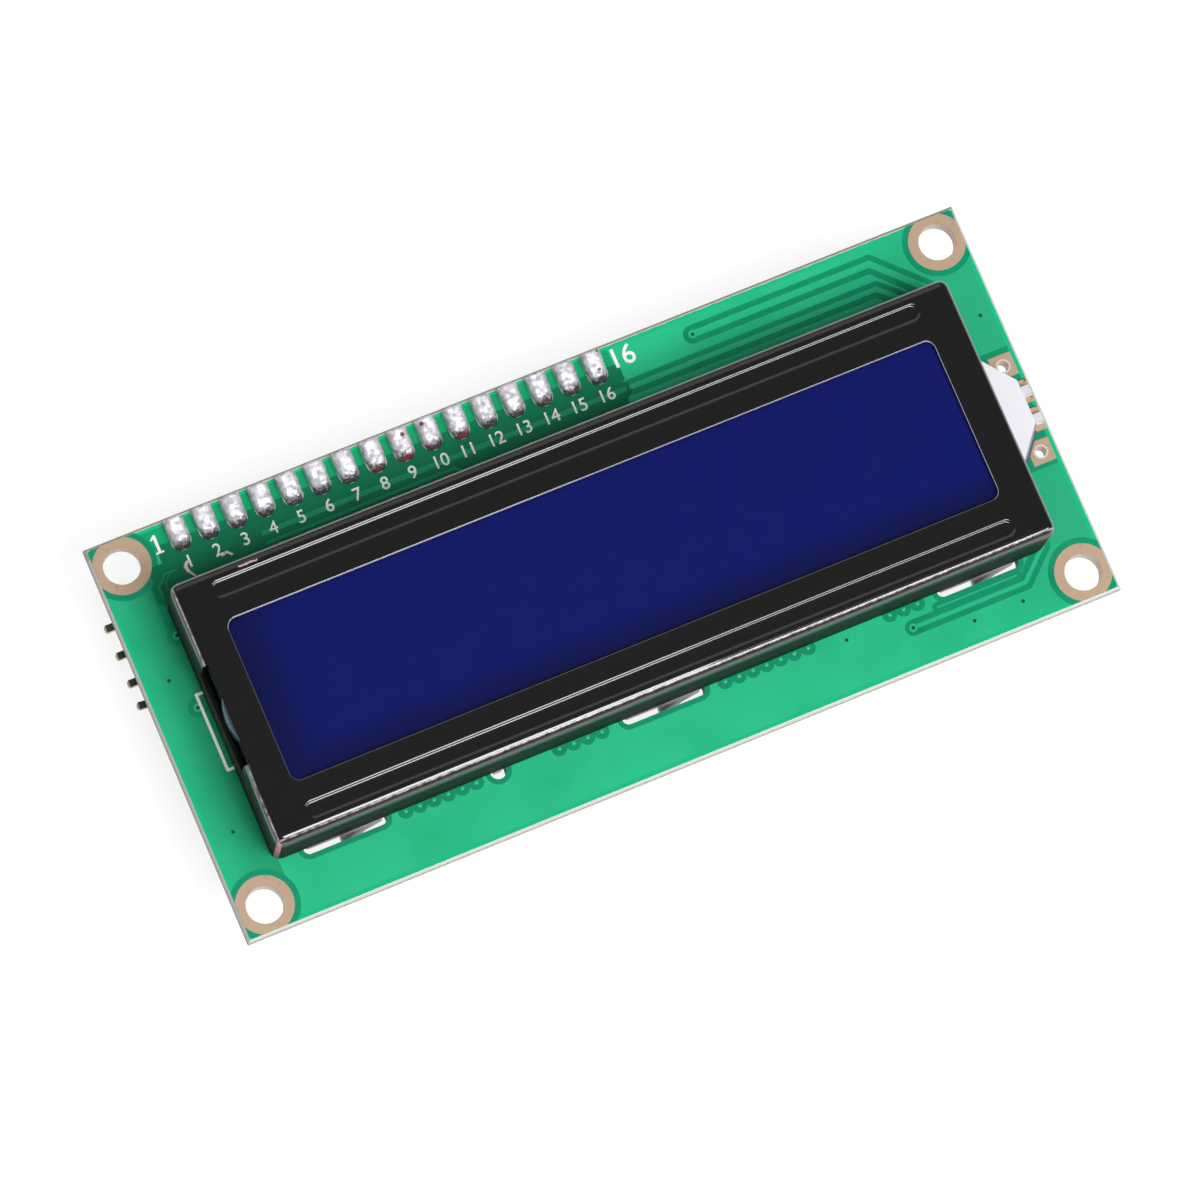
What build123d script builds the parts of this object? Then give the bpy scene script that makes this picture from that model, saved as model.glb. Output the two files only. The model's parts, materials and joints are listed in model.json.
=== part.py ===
from build123d import *
import math
import os

# Module board: green fibreglass, broken out of its panel along V-scores on both faces
board_length = 80.0
board_width = 36.0
board_thickness = 1.6
score_depth = 0.43
score_angle = 30.0
plating = 0.05
cut_margin = 1.0

# Mounting holes with their bare plated rings
mount_inset = 2.5
mount_hole_radius = 1.6
mount_ring_width = 0.9

# Sixteen-way header row along the upper edge
pitch = 2.54
pin_side = 0.64
pin_tip_cut = 0.15
pin_count = 16
first_pin_inset = 7.9
header_inset = 2.3
pin_hole_radius = 0.5
strip_depth = 2.5
strip_height = 2.54
strip_notch = 0.45
header_pad_radius = 0.9
joint_width = 1.7
joint_flank = 12.0
joint_front_slope = 31.0
joint_low = 0.72
joint_high = 1.15
joint_pin_cover = 0.25
joint_edge_gap = 0.15

# Folded steel bezel, centred on the display axis
display_y = -0.6
bezel_margin_x = 4.6
bezel_margin_y = 6.15
bezel_height = 7.0
sheet = 0.5
bend_radius = 0.75
corner_cut = 0.8
window_margin_x = 3.3
window_margin_y = 4.55
window_corner = 0.8
bead_overrun = 0.1
bead_width = 1.55
bead_depth = 0.3
bead_inset = 1.85
port_cut_length = 9.0
port_cut_sill = 3.9
port_cut_depth = 0.55

# Twisted tabs that hold the bezel in the slots of the board
slot_inset = 6.4
slot_end_play = 0.7
slot_inner_gap = 0.05
slot_outer_gap = 0.55
shoulder_length = 6.8
shoulder_drop = 0.9
shoulder_cut = 0.2
tab_width = 3.75
tab_twist = 35.0
tab_reach = 3.2
peg_x = -15.1
peg_width = 0.7
peg_drop = 1.2
peg_clearance = 0.05

# Display cell and its optical stack
glass_play_x = 0.2
glass_play_y = 0.25
glass_thickness = 1.1
glass_corner_cut = 0.6
polarizer_lap = 1.1
polarizer_corner_cut = 0.3
rear_polarizer_inset = 0.3
front_polarizer_thickness = 0.25
rear_polarizer_thickness = 0.2
diffuser_thickness = 0.2
reflector_thickness = 0.2
seal_chord = 3.9
seal_bulge = 0.42
seal_height = 1.8
seal_shift = -0.27
seal_rounding = 0.3

# Light guide with a tapered neck that reaches out to the backlight
guide_left_inset = 1.9
guide_right_inset = 2.8
guide_inset = 0.2
neck_root_inset = 1.0
neck_width = 11.7
neck_end_inset = 1.54
neck_end_width = 4.2
neck_height = 2.08
neck_clearance = 0.25
tape_thickness = 0.08
tape_short = 0.25
tape_root_gap = 0.1

# Elastomer strips between the board and the front glass
strip_end_inset = 3.7
strip_width = 2.2
strip_inset = 1.4
strip_gap = 0.2

# Backlight: two chip diodes at the end of the neck and two bare square pads beside them
diode_length = 2.05
diode_width = 1.15
diode_base = 0.3
diode_height = 0.85
diode_lens_length = 0.95
diode_end = 0.5
diode_spacing = 2.58
diode_gap = 0.04
diode_lens_draft = 10.0
lamp_pad_inset = 1.62
lamp_pad_spacing = 8.0
lamp_pad_side = 2.05
lamp_hole_radius = 0.475

# Adapter board behind the module board, carried by the header
adapter_length = 41.5
adapter_width = 19.0
adapter_thickness = 1.6
adapter_left_margin = 1.7
adapter_top_margin = 1.9
adapter_corner = 0.6

# Right-angle headers on the adapter
elbow_inset = 3.6
elbow_strip_gap = 1.5
elbow_bend = 0.5
free_pin = 6.0
bus_pin_count = 4
bus_drop = 9.2
bent_pin_angle = 4.8
jumper_pin_count = 2
leg_protrusion = 0.5
cone_radius = 0.85
cone_tip_radius = 0.46
cone_hollow = 0.12
cone_height = 1.0
leg_cone_height = 0.42
header_tail = 1.3

# Jumper cap that bridges the two pins of the backlight header
cap_end_wall = 0.6
cap_side_play = 0.04
cap_height = 2.4
cap_rounding = 0.3
cap_gap = 0.05
cap_pin_clearance = 0.07
cap_tip_clearance = 0.2
clip_thickness = 0.15
clip_finger = 3.2

# Contrast trimmer
trimmer_right_inset = 12.2
trimmer_drop = 9.4
trimmer_side = 6.8
trimmer_height = 4.8
trimmer_foot = 0.35
trimmer_foot_side = 1.1
trimmer_edge_cut = 0.3
rotor_radius = 1.7
rotor_clearance = 0.08
rotor_depth = 0.7
rotor_slot_width = 0.55
rotor_slot_depth = 0.45
rotor_slot_margin = 0.35
rotor_edge_cut = 0.1
rotor_end_gap = 0.05
trimmer_lead_side = 0.5

# Chips on the adapter
expander_left_inset = 13.3
expander_drop = 9.6
expander_length = 10.3
expander_width = 7.5
expander_height = 2.35
expander_standoff = 0.2
expander_lead_count = 8
expander_pitch = 1.27
expander_span = 10.4
lead_width = 0.42
lead_thickness = 0.26
lead_foot = 0.8
lead_shoulder = 0.25
dimple_radius = 0.5
dimple_inset = 1.4
dimple_depth = 0.1
mould_draft = 7.0
transistor_offset = 9.0
transistor_column_drop = 6.3
transistor_length = 2.9
transistor_width = 1.35
transistor_height = 1.0
transistor_standoff = 0.05
transistor_span = 2.4
transistor_pitch = 0.95
transistor_lead_thickness = 0.15
transistor_lead_foot = 0.2
transistor_lead_shoulder = 0.15

# Chip resistors and capacitors
chip_length = 2.0
chip_width = 1.25
chip_height = 0.5
chip_end = 0.36
chip_end_wrap = 0.04
capacitor_height = 0.9
lamp_height = 0.7
resistor_row_gap = 6.0
resistor_row_drop = 5.3
resistor_row_count = 5
resistor_step = 2.6
lamp_resistor_offset = 3.8
transistor_drop = 3.0
adapter_chip_step = 2.1
lower_row_inset = 1.9
lamp_resistor_gap = 3.8
trimmer_chip_step = 3.3
trimmer_chip_drop = 6.8
capacitor_offset = 8.6
bridge_pad_length = 1.5
bridge_pad_width = 1.0
bridge_pad_gap = 0.4
bridge_pad_pitch = 2.6
bridge_pad_inset = 1.9

# Epoxy caps over the two display driver dies
cap_radii = (6.5, 6.0)
cap_centres = ((-13.5, -5.0), (21.0, -1.5))
epoxy_height = 1.25

# Levels along Z that follow from the sizes above
board_back = -board_thickness
adapter_front = board_back - strip_height
adapter_back = adapter_front - adapter_thickness
elbow_z = adapter_back - strip_height / 2
bezel_inside = bezel_height - sheet
glass_top = bezel_inside - bead_depth
glass_joint = glass_top - glass_thickness
rear_glass_low = glass_joint - glass_thickness
rear_polarizer_low = rear_glass_low - rear_polarizer_thickness
guide_top = rear_polarizer_low - diffuser_thickness
neck_top = reflector_thickness + neck_height
leg_top = adapter_front + leg_protrusion

# Places and widths along X and Y that follow from the sizes above
mount_spacing_x = board_length - 2 * mount_inset
mount_spacing_y = board_width - 2 * mount_inset
first_pin_x = first_pin_inset - board_length / 2
header_row_y = board_width / 2 - header_inset
bezel_length = board_length - 2 * bezel_margin_x
bezel_width = board_width - 2 * bezel_margin_y
window_length = bezel_length - 2 * window_margin_x
window_width = bezel_width - 2 * window_margin_y
bead_length = window_length + 2 * bead_overrun
bead_offset = bezel_width / 2 - bead_inset
slot_spacing = bezel_length / 2 - slot_inset
glass_length = bezel_length - 2 * (sheet + glass_play_x)
front_glass_width = bezel_width - 2 * (sheet + glass_play_y)
strip_offset = front_glass_width / 2 - strip_inset
rear_glass_width = 2 * strip_offset - strip_width - 2 * strip_gap
polarizer_length = window_length + 2 * polarizer_lap
front_polarizer_width = window_width + 2 * polarizer_lap
rear_polarizer_width = rear_glass_width - 2 * rear_polarizer_inset
guide_left = guide_left_inset - bezel_length / 2
guide_right = bezel_length / 2 - guide_right_inset
guide_width = rear_glass_width - 2 * guide_inset
neck_root_x = bezel_length / 2 - neck_root_inset
neck_end_x = board_length / 2 - neck_end_inset
strip_length = glass_length - 2 * strip_end_inset
lamp_pad_x = board_length / 2 - lamp_pad_inset
score_inset = score_depth * math.tan(math.radians(score_angle))
adapter_left = first_pin_x - adapter_left_margin
adapter_right = adapter_left + adapter_length
adapter_top = header_row_y + adapter_top_margin
adapter_bottom = adapter_top - adapter_width
bus_y = adapter_top - bus_drop
expander_x = adapter_left + expander_left_inset
expander_y = adapter_top - expander_drop
transistor_x = expander_x + transistor_offset
transistor_y = adapter_top - transistor_column_drop
trimmer_x = adapter_right - trimmer_right_inset
trimmer_y = adapter_top - trimmer_drop
trimmer_chip_y = trimmer_y - trimmer_chip_drop
resistor_row_x = slot_spacing - resistor_row_gap - (resistor_row_count - 1) * resistor_step
resistor_row_y = header_row_y - resistor_row_drop
bus_leg_x = adapter_left + elbow_inset
jumper_leg_x = adapter_right - elbow_inset
wall_y = (bezel_width - sheet) / 2
slot_width = slot_inner_gap + sheet + slot_outer_gap
slot_length = shoulder_length + slot_end_play
slot_y = bezel_width / 2 - sheet - slot_inner_gap + slot_width / 2
peg_hole_radius = math.hypot(peg_width / 2, slot_width / 2) + peg_clearance
diode_x = neck_end_x + diode_gap + diode_width / 2
cap_bore_half = pin_side / 2 + cap_pin_clearance
cap_bore_depth = free_pin + cap_tip_clearance - cap_gap + clip_thickness
clip_outside = pitch / 2 + cap_bore_half + clip_thickness


def centred_row(count, step):
    """Offsets of evenly spaced items on both sides of zero."""
    return [(i - (count - 1) / 2) * step for i in range(count)]


header_pins = [(first_pin_x + i * pitch, header_row_y) for i in range(pin_count)]
bus_pins = [(bus_leg_x, bus_y + dy) for dy in centred_row(bus_pin_count, pitch)]
jumper_pins = [(jumper_leg_x, bus_y + dy) for dy in centred_row(jumper_pin_count, pitch)]
trimmer_pins = [(trimmer_x + side * pitch, trimmer_y + (abs(side) - 0.5) * pitch) for side in (-1, 0, 1)]
mount_holes = [(sx * mount_spacing_x / 2, sy * mount_spacing_y / 2) for sx in (-1, 1) for sy in (-1, 1)]
lamp_pads = [(lamp_pad_x, display_y + s * lamp_pad_spacing / 2) for s in (-1, 1)]
slot_places = (-slot_spacing, 0, slot_spacing)

LOW = (Align.MIN, Align.MIN, Align.MIN)


def slab(low, high):
    """Block between two opposite corners."""
    size = [b - a for a, b in zip(low, high)]
    return Pos(*low) * Box(*size, align=LOW)


def prism(sketch, low, high):
    """Upright prism of a flat outline between two levels."""
    return Pos(0, 0, low) * extrude(sketch, amount=high - low)


def cut_rectangle(length, width, cut):
    """Rectangle with its corners cut at 45 degrees."""
    outline = Rectangle(length, width)
    return chamfer(outline.vertices(), cut)


def scored_board(length, width, thickness):
    """Board whose four edges slope in towards both faces, as V-scoring leaves them."""
    outline = Rectangle(length, width)
    slope = extrude(outline, amount=score_depth, taper=score_angle)
    core = prism(outline, score_depth - thickness, -score_depth)
    upper = Pos(0, 0, -score_depth) * slope
    lower = Pos(0, 0, score_depth - thickness) * Rot(180, 0, 0) * slope
    return core + upper + lower


def face_outline():
    """Flat face of the module board inside the scored edges."""
    return Rectangle(board_length - 2 * score_inset, board_width - 2 * score_inset)


def lcd_board():
    board = scored_board(board_length, board_width, board_thickness)
    cuts = [Pos(x, y) * Circle(mount_hole_radius + plating) for x, y in mount_holes]
    cuts += [Pos(x, y) * Circle(pin_hole_radius) for x, y in header_pins]
    cuts += [Pos(x, y) * Circle(lamp_hole_radius + plating) for x, y in lamp_pads]
    cuts += [
        Pos(x, display_y + s * slot_y) * SlotOverall(slot_length, slot_width)
        for x in slot_places
        for s in (-1, 1)
    ]
    cuts.append(Pos(peg_x, display_y - slot_y) * Circle(peg_hole_radius))
    return board - prism(Sketch() + cuts, -board_thickness - cut_margin, cut_margin)


def eyelet(x, y, hole_radius, pad):
    """Plated hole: a pad on each face of the module board, joined by the plated wall."""
    bore = Pos(x, y) * Circle(hole_radius)
    wall = Pos(x, y) * Circle(hole_radius + plating) - bore
    ring = (Pos(x, y) * pad & face_outline()) - bore
    front = prism(ring, 0, plating)
    back = prism(ring, board_back - plating, board_back)
    return prism(wall, board_back - plating, plating) + front + back


def mounting_rings():
    ring = Circle(mount_hole_radius + mount_ring_width)
    return [eyelet(x, y, mount_hole_radius, ring) for x, y in mount_holes]


def lamp_eyelets():
    pad = Rectangle(lamp_pad_side, lamp_pad_side)
    return [eyelet(x, y, lamp_hole_radius, pad) for x, y in lamp_pads]


def joint_outline(radius, top):
    """Pad outline: round below the pin, straight up to the board's edge."""
    return Circle(radius) + Pos(0, top / 2) * Rectangle(2 * radius, top)


def header_pads():
    reach = board_width / 2 - score_inset - header_row_y
    pad = joint_outline(header_pad_radius, reach) - Circle(pin_hole_radius)
    return [prism(Pos(x, y) * pad, 0, plating) for x, y in header_pins]


def header_joints():
    """Solder joints: wedges with a sloping front and a top that climbs to the board's edge."""
    reach = board_width / 2 - score_inset - header_row_y - joint_edge_gap
    base = joint_outline(joint_width / 2, reach)
    blank = extrude(base, amount=joint_high, taper=joint_flank)
    climb = math.degrees(math.atan2(joint_high - joint_low, reach))
    above = slab((-2 * joint_width, -4 * joint_width, 0), (2 * joint_width, 4 * joint_width, 4 * joint_high))
    lid = Pos(0, 0, joint_low) * Rot(climb, 0, 0) * above
    front = Pos(0, -joint_width / 2, 0) * Rot(joint_front_slope, 0, 0) * above
    half = pin_side / 2
    core = slab((-half, -half, -joint_low), (half, half, joint_low - joint_pin_cover))
    joint = blank - lid - front - core
    return [Pos(x, y, plating) * joint for x, y in header_pins]


def square_pin(low, high):
    """Square pin with cut tips, on the Z axis."""
    pin = slab((-pin_side / 2, -pin_side / 2, low), (pin_side / 2, pin_side / 2, high))
    return chamfer(pin.faces().filter_by(Axis.Z).edges(), pin_tip_cut)


def header_strip(count):
    """Breakaway header insulator: notched between the pins, from Z = 0 up, first pin at the origin."""
    cell = cut_rectangle(pitch, strip_depth, strip_notch) - Rectangle(pin_side, pin_side)
    outline = Sketch() + [Pos(i * pitch, 0) * cell for i in range(count)]
    return extrude(outline, amount=strip_height)


def solder_cone(base_radius, tip_radius, height):
    """Concave solder fillet around a square pin, standing on Z = 0."""
    waist = ((base_radius + tip_radius) / 2 - cone_hollow, height * 0.42)
    edge = Line((0, 0), (base_radius, 0)) + ThreePointArc((base_radius, 0), waist, (tip_radius, height))
    edge += Polyline((tip_radius, height), (0, height), (0, 0))
    cone = revolve(Plane.XZ * make_face(edge), Axis.Z)
    return cone - Box(pin_side, pin_side, 4 * height)


def bezel_shell():
    """Folded box of sheet steel with its corners cut where the walls meet."""
    outer = extrude(cut_rectangle(bezel_length, bezel_width, corner_cut), amount=bezel_height)
    outer = fillet(outer.faces().sort_by(Axis.Z)[-1].edges(), bend_radius)
    inner_cut = corner_cut - sheet * (2 - math.sqrt(2))
    hollow = cut_rectangle(bezel_length - 2 * sheet, bezel_width - 2 * sheet, inner_cut)
    inner = extrude(hollow, amount=bezel_inside)
    inner = fillet(inner.faces().sort_by(Axis.Z)[-1].edges(), bend_radius - sheet)
    return outer - inner


def bead_form(width, depth):
    """Pressed bead: a long slot that narrows at 45 degrees on its way down."""
    ends = width - bead_width
    return Rot(180, 0, 0) * extrude(SlotOverall(bead_length + ends, width), amount=depth, taper=45)


def twisted_tab():
    """Tab of the bezel wall: a shoulder in the slot, and a blade that twists once it leaves the shoulder."""
    half = shoulder_length / 2
    shoulder = slab((-half, -sheet / 2, -shoulder_drop), (half, sheet / 2, 0))
    shoulder = chamfer(shoulder.edges().filter_by(Axis.Y).sort_by(Axis.Z)[:2], shoulder_cut)
    middle = half - tab_width / 2
    early_twist = math.degrees(math.asin(0.85 * slot_outer_gap / tab_width))
    outward = -tab_width / 2 * math.sin(math.radians(early_twist))
    through = board_thickness + plating
    between = ((early_twist + tab_twist) / 2, (through + tab_reach) / 2)
    stages = [(0, shoulder_drop), (early_twist, through), between, (tab_twist, tab_reach)]
    blade = Rectangle(tab_width, sheet)
    places = [Pos(middle, outward if twist else 0, -depth) * Rot(0, 0, twist) for twist, depth in stages]
    sections = [place * blade for place in places]
    root = Pos(middle, 0, -shoulder_drop) * extrude(blade, amount=shoulder_drop)
    return shoulder + root + loft(sections, ruled=True)


def bezel():
    body = bezel_shell()
    ridge_width = bead_width + 2 * sheet * math.tan(math.radians(22.5))
    for side in (-1, 1):
        body += Pos(0, side * bead_offset, bezel_inside) * bead_form(ridge_width, bead_depth)
        body -= Pos(0, side * bead_offset, bezel_height) * bead_form(bead_width, bead_depth)
    window = RectangleRounded(window_length, window_width, window_corner)
    body -= prism(window, bezel_inside - bead_depth, bezel_height + cut_margin)
    end, port = bezel_length / 2, port_cut_length / 2
    beyond = end + cut_margin
    body -= slab((-beyond, -port, port_cut_sill), (port_cut_depth - end, port, bezel_height + cut_margin))
    gate = neck_width / 2 + neck_clearance
    gate_top = neck_top + tape_thickness + neck_clearance
    body -= slab((end - 2 * sheet, -gate, -cut_margin), (beyond, gate, gate_top))
    tabs = [Pos(x, -wall_y, 0) * twisted_tab() for x in slot_places]
    for tab in tabs:
        body += tab
        body += Rot(0, 0, 180) * tab
    peg = slab((-peg_width / 2, -sheet / 2, -peg_drop), (peg_width / 2, sheet / 2, 0))
    return Pos(0, display_y, 0) * (body + Pos(peg_x, -wall_y, 0) * peg)


def sheet_piece(length, width, low, high, cut=0.0):
    """Flat rectangular layer centred on the display axis."""
    outline = cut_rectangle(length, width, cut) if cut else Rectangle(length, width)
    return Pos(0, display_y, 0) * prism(outline, low, high)


def fill_port_seal():
    """Bead of cured resin over the fill port on the left edge of the glass."""
    radius = (seal_chord**2 / 4 + seal_bulge**2) / (2 * seal_bulge)
    edge_x = -glass_length / 2
    disc = Pos(edge_x - seal_bulge + radius, 0) * Circle(radius)
    keep = Pos(edge_x - radius, 0) * Rectangle(2 * radius, 4 * radius)
    bead = prism(disc & keep, glass_joint - seal_height / 2, glass_joint + seal_height / 2)
    round_edges = bead.edges().filter_by(GeomType.CIRCLE)
    return Pos(0, display_y + seal_shift, 0) * fillet(round_edges, seal_rounding)


def neck_outline(root_x, short=0.0):
    """Half hexagon of the light guide's neck, from a root line to its end face."""
    half, end = neck_width / 2, neck_end_width / 2
    wall_x = bezel_length / 2
    points = [(root_x, half), (wall_x, half), (neck_end_x, end), (neck_end_x, -end + short)]
    points += [(wall_x, -half + short), (root_x, -half + short)]
    return make_face(Polyline(*points, close=True))


def light_guide():
    length = guide_right - guide_left
    body = Pos((guide_left + guide_right) / 2, 0) * Rectangle(length, guide_width)
    plate = prism(body, reflector_thickness, guide_top)
    neck = prism(neck_outline(guide_right), reflector_thickness, neck_top)
    ramp = Polyline((guide_right, neck_top), (guide_right, guide_top), (neck_root_x, neck_top), close=True)
    wedge = Pos(0, neck_width / 2, 0) * extrude(Plane.XZ * make_face(ramp), amount=neck_width)
    return Pos(0, display_y, 0) * (plate + neck + wedge)


def neck_tape():
    outline = neck_outline(neck_root_x + tape_root_gap, tape_short)
    return Pos(0, display_y, 0) * prism(outline, neck_top, neck_top + tape_thickness)


def contact_strip(side):
    size = (strip_length / 2, strip_width / 2)
    blank = slab((-size[0], -size[1], 0), (size[0], size[1], glass_joint))
    return Pos(0, display_y + side * strip_offset, 0) * blank


def diode_places():
    return [Pos(diode_x, display_y + s * diode_spacing / 2, 0) for s in (-1, 1)]


def diode_body():
    """Chip diode between its terminals: a laminate base with a sloping clear lens."""
    inner = diode_length - 2 * diode_end
    base = slab((-diode_width / 2, -inner / 2, 0), (diode_width / 2, inner / 2, diode_base))
    lens = Rectangle(diode_width, diode_lens_length)
    lens = extrude(lens, amount=diode_height - diode_base, taper=diode_lens_draft)
    return base + Pos(0, 0, diode_base) * lens


def diode_terminals():
    half, side = diode_length / 2, diode_width / 2
    end = slab((-side, half - diode_end, 0), (side, half, diode_base))
    return [end, Rot(0, 0, 180) * end]


def epoxy_cap(radius):
    """Dome of black resin over a bare die."""
    sphere_radius = (radius**2 + epoxy_height**2) / (2 * epoxy_height)
    dome = Pos(0, 0, epoxy_height - sphere_radius) * Sphere(sphere_radius)
    return dome & slab((-radius, -radius, 0), (radius, radius, epoxy_height + cut_margin))


def chip_body(height):
    half = chip_length / 2 - chip_end
    return slab((-half, -chip_width / 2, 0), (half, chip_width / 2, height))


def chip_ends(height):
    half, side, wrap = chip_length / 2, chip_width / 2, chip_end_wrap
    end = slab((half - chip_end, -side - wrap, 0), (half + wrap, side + wrap, height + wrap))
    return [end, Rot(0, 0, 180) * end]


def adapter_board():
    outline = RectangleRounded(adapter_length, adapter_width, adapter_corner)
    centre = Pos((adapter_left + adapter_right) / 2, (adapter_top + adapter_bottom) / 2)
    drilled = header_pins + bus_pins + jumper_pins + trimmer_pins
    holes = [Pos(x, y) * Circle(pin_hole_radius) for x, y in drilled]
    return prism(centre * outline - holes, adapter_back, adapter_front)


def elbow_pin(bent=0.0):
    """Right-angle pin: leg on the Z axis up through the adapter, free end towards -X."""
    strip_end = -elbow_strip_gap - strip_height
    path = Line((0, leg_top), (0, elbow_z + elbow_bend))
    path += RadiusArc((0, elbow_z + elbow_bend), (-elbow_bend, elbow_z), elbow_bend)
    path += Line((-elbow_bend, elbow_z), (strip_end, elbow_z))
    start = Plane(origin=(0, 0, leg_top), z_dir=(0, 0, -1))
    pin = sweep(start * Rectangle(pin_side, pin_side), Plane.XZ * path)
    free = slab((-free_pin, -pin_side / 2, -pin_side / 2), (0, pin_side / 2, pin_side / 2))
    free = chamfer(free.faces().sort_by(Axis.X)[0].edges(), pin_tip_cut)
    return pin + Pos(strip_end, 0, elbow_z) * Rot(0, 0, bent) * free


def bus_header_pins():
    return [Pos(x, y, 0) * elbow_pin(-bent_pin_angle if i == 0 else 0.0) for i, (x, y) in enumerate(bus_pins)]


def jumper_header_pins():
    return [Pos(x, y, 0) * Rot(0, 0, 180) * elbow_pin() for x, y in jumper_pins]


def elbow_strip(pins, side):
    """Insulator of a right-angle header, lying on the back of the adapter."""
    x, y = pins[0]
    lying = Rot(0, 0, 90) * header_strip(len(pins))
    turned = Rot(0, -90 if side < 0 else 90, 0) * lying
    return Pos(x + side * elbow_strip_gap, y, elbow_z) * turned


def jumper_place():
    """Closed seat of the jumper cap: its mouth just clear of the insulator's face."""
    return Pos(jumper_leg_x + elbow_strip_gap + strip_height + cap_gap, bus_y, elbow_z)


def jumper_cap():
    """Jumper cap with a bore for each pin and a slot behind them for the bridge of the clip."""
    depth, half, width = cap_bore_depth, cap_bore_half, pitch - cap_side_play
    body = slab((0, -width, -cap_height / 2), (depth + cap_end_wall, width, cap_height / 2))
    body = fillet(body.edges().filter_by(Axis.X), cap_rounding)
    body = fillet(body.faces().sort_by(Axis.X)[-1].edges(), cap_rounding)
    bore = slab((-cut_margin, pitch / 2 - half, -half), (depth, clip_outside, half))
    bridge = slab((depth - clip_thickness, -clip_outside, -half), (depth, clip_outside, half))
    return jumper_place() * (body - bore - Rot(180, 0, 0) * bore - bridge)


def jumper_clip():
    """Brass bridge at the closed end of the cap, with a finger along the outside of each pin."""
    depth, half = cap_bore_depth, cap_bore_half
    bridge = slab((depth - clip_thickness, -clip_outside, -half), (depth, clip_outside, half))
    finger = slab((depth - clip_finger, clip_outside - clip_thickness, -half), (depth, clip_outside, half))
    return jumper_place() * (bridge + finger + Rot(180, 0, 0) * finger)


def hanging(x, y):
    """Place on the back of the adapter, for a piece built standing on Z = 0."""
    return Pos(x, y, adapter_back) * Rot(180, 0, 0)


def trimmer_body():
    """Square trimmer housing on four feet with a round well for the rotor."""
    side, top = trimmer_side, trimmer_height
    body = prism(Rectangle(side, side), trimmer_foot, top)
    body = chamfer(body.faces().sort_by(Axis.Z)[-1].edges(), trimmer_edge_cut)
    reach = (side - trimmer_foot_side) / 2
    corners = [Pos(sx * reach, sy * reach) for sx in (-1, 1) for sy in (-1, 1)]
    feet = Sketch() + [corner * Rectangle(trimmer_foot_side, trimmer_foot_side) for corner in corners]
    body += prism(feet, 0, trimmer_foot)
    well = prism(Circle(rotor_radius + rotor_clearance), top - rotor_depth, top + cut_margin)
    return hanging(trimmer_x, trimmer_y) * (body - well)


def trimmer_rotor():
    """Rotor with a crossed screwdriver slot, one arm longer to point at the setting."""
    top = trimmer_height - rotor_end_gap
    disc = prism(Circle(rotor_radius), trimmer_height - rotor_depth + rotor_end_gap, top)
    disc = chamfer(disc.faces().sort_by(Axis.Z)[-1].edges(), rotor_edge_cut)
    half = rotor_slot_width / 2
    arm = rotor_radius - rotor_slot_margin
    floor = top - rotor_slot_depth
    disc -= slab((-arm, -half, floor), (arm, half, trimmer_height))
    disc -= slab((-half, -arm, floor), (half, rotor_radius + cut_margin, trimmer_height))
    return hanging(trimmer_x, trimmer_y) * disc


def trimmer_leads():
    half = trimmer_lead_side / 2
    low = adapter_back - trimmer_foot
    return [slab((x - half, y - half, low), (x + half, y + half, leg_top)) for x, y in trimmer_pins]


def moulded_body(length, width, height, standoff):
    """Plastic chip body with draft above and below its parting line."""
    half = height / 2
    draft = extrude(Rectangle(length, width), amount=half, taper=mould_draft)
    return Pos(0, 0, standoff + half) * (draft + Rot(180, 0, 0) * draft)


def gull_lead(inner, span, shoulder_z, thickness, foot, shoulder):
    """Gull-wing lead towards +Y: a level shoulder, a steep shin and a flat foot."""
    outer, half = span / 2, thickness / 2
    knee, heel = inner + shoulder, outer - foot
    mitre = half * math.tan(math.atan2(shoulder_z - half, heel - knee) / 2)
    under = [(inner, shoulder_z - half), (knee - mitre, shoulder_z - half), (heel - mitre, 0), (outer, 0)]
    over = [(outer, thickness), (heel + mitre, thickness), (knee + mitre, shoulder_z + half)]
    profile = Polyline(*under, *over, (inner, shoulder_z + half), close=True)
    return Pos(-lead_width / 2, 0, 0) * extrude(Plane.YZ * make_face(profile), amount=lead_width)


def expander_chip():
    body = moulded_body(expander_length, expander_width, expander_height, expander_standoff)
    top = expander_standoff + expander_height
    corner = Pos(dimple_inset - expander_length / 2, expander_width / 2 - dimple_inset)
    dimple = prism(corner * Circle(dimple_radius), top - dimple_depth, top + cut_margin)
    return hanging(expander_x, expander_y) * (body - dimple)


def expander_lead_set():
    middle = expander_standoff + expander_height / 2
    lead = gull_lead(expander_width / 2, expander_span, middle, lead_thickness, lead_foot, lead_shoulder)
    row = centred_row(expander_lead_count, expander_pitch)
    place = hanging(expander_x, expander_y)
    return [place * Rot(0, 0, turn) * Pos(x, 0, 0) * lead for turn in (0, 180) for x in row]


def transistor():
    body = moulded_body(transistor_length, transistor_width, transistor_height, transistor_standoff)
    return hanging(transistor_x, transistor_y) * body


def transistor_lead_set():
    middle = transistor_standoff + transistor_height / 2
    lead = gull_lead(
        transistor_width / 2,
        transistor_span,
        middle,
        transistor_lead_thickness,
        transistor_lead_foot,
        transistor_lead_shoulder,
    )
    places = [Pos(-transistor_pitch, 0, 0), Pos(transistor_pitch, 0, 0), Rot(0, 0, 180)]
    return [hanging(transistor_x, transistor_y) * place * lead for place in places]


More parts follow.
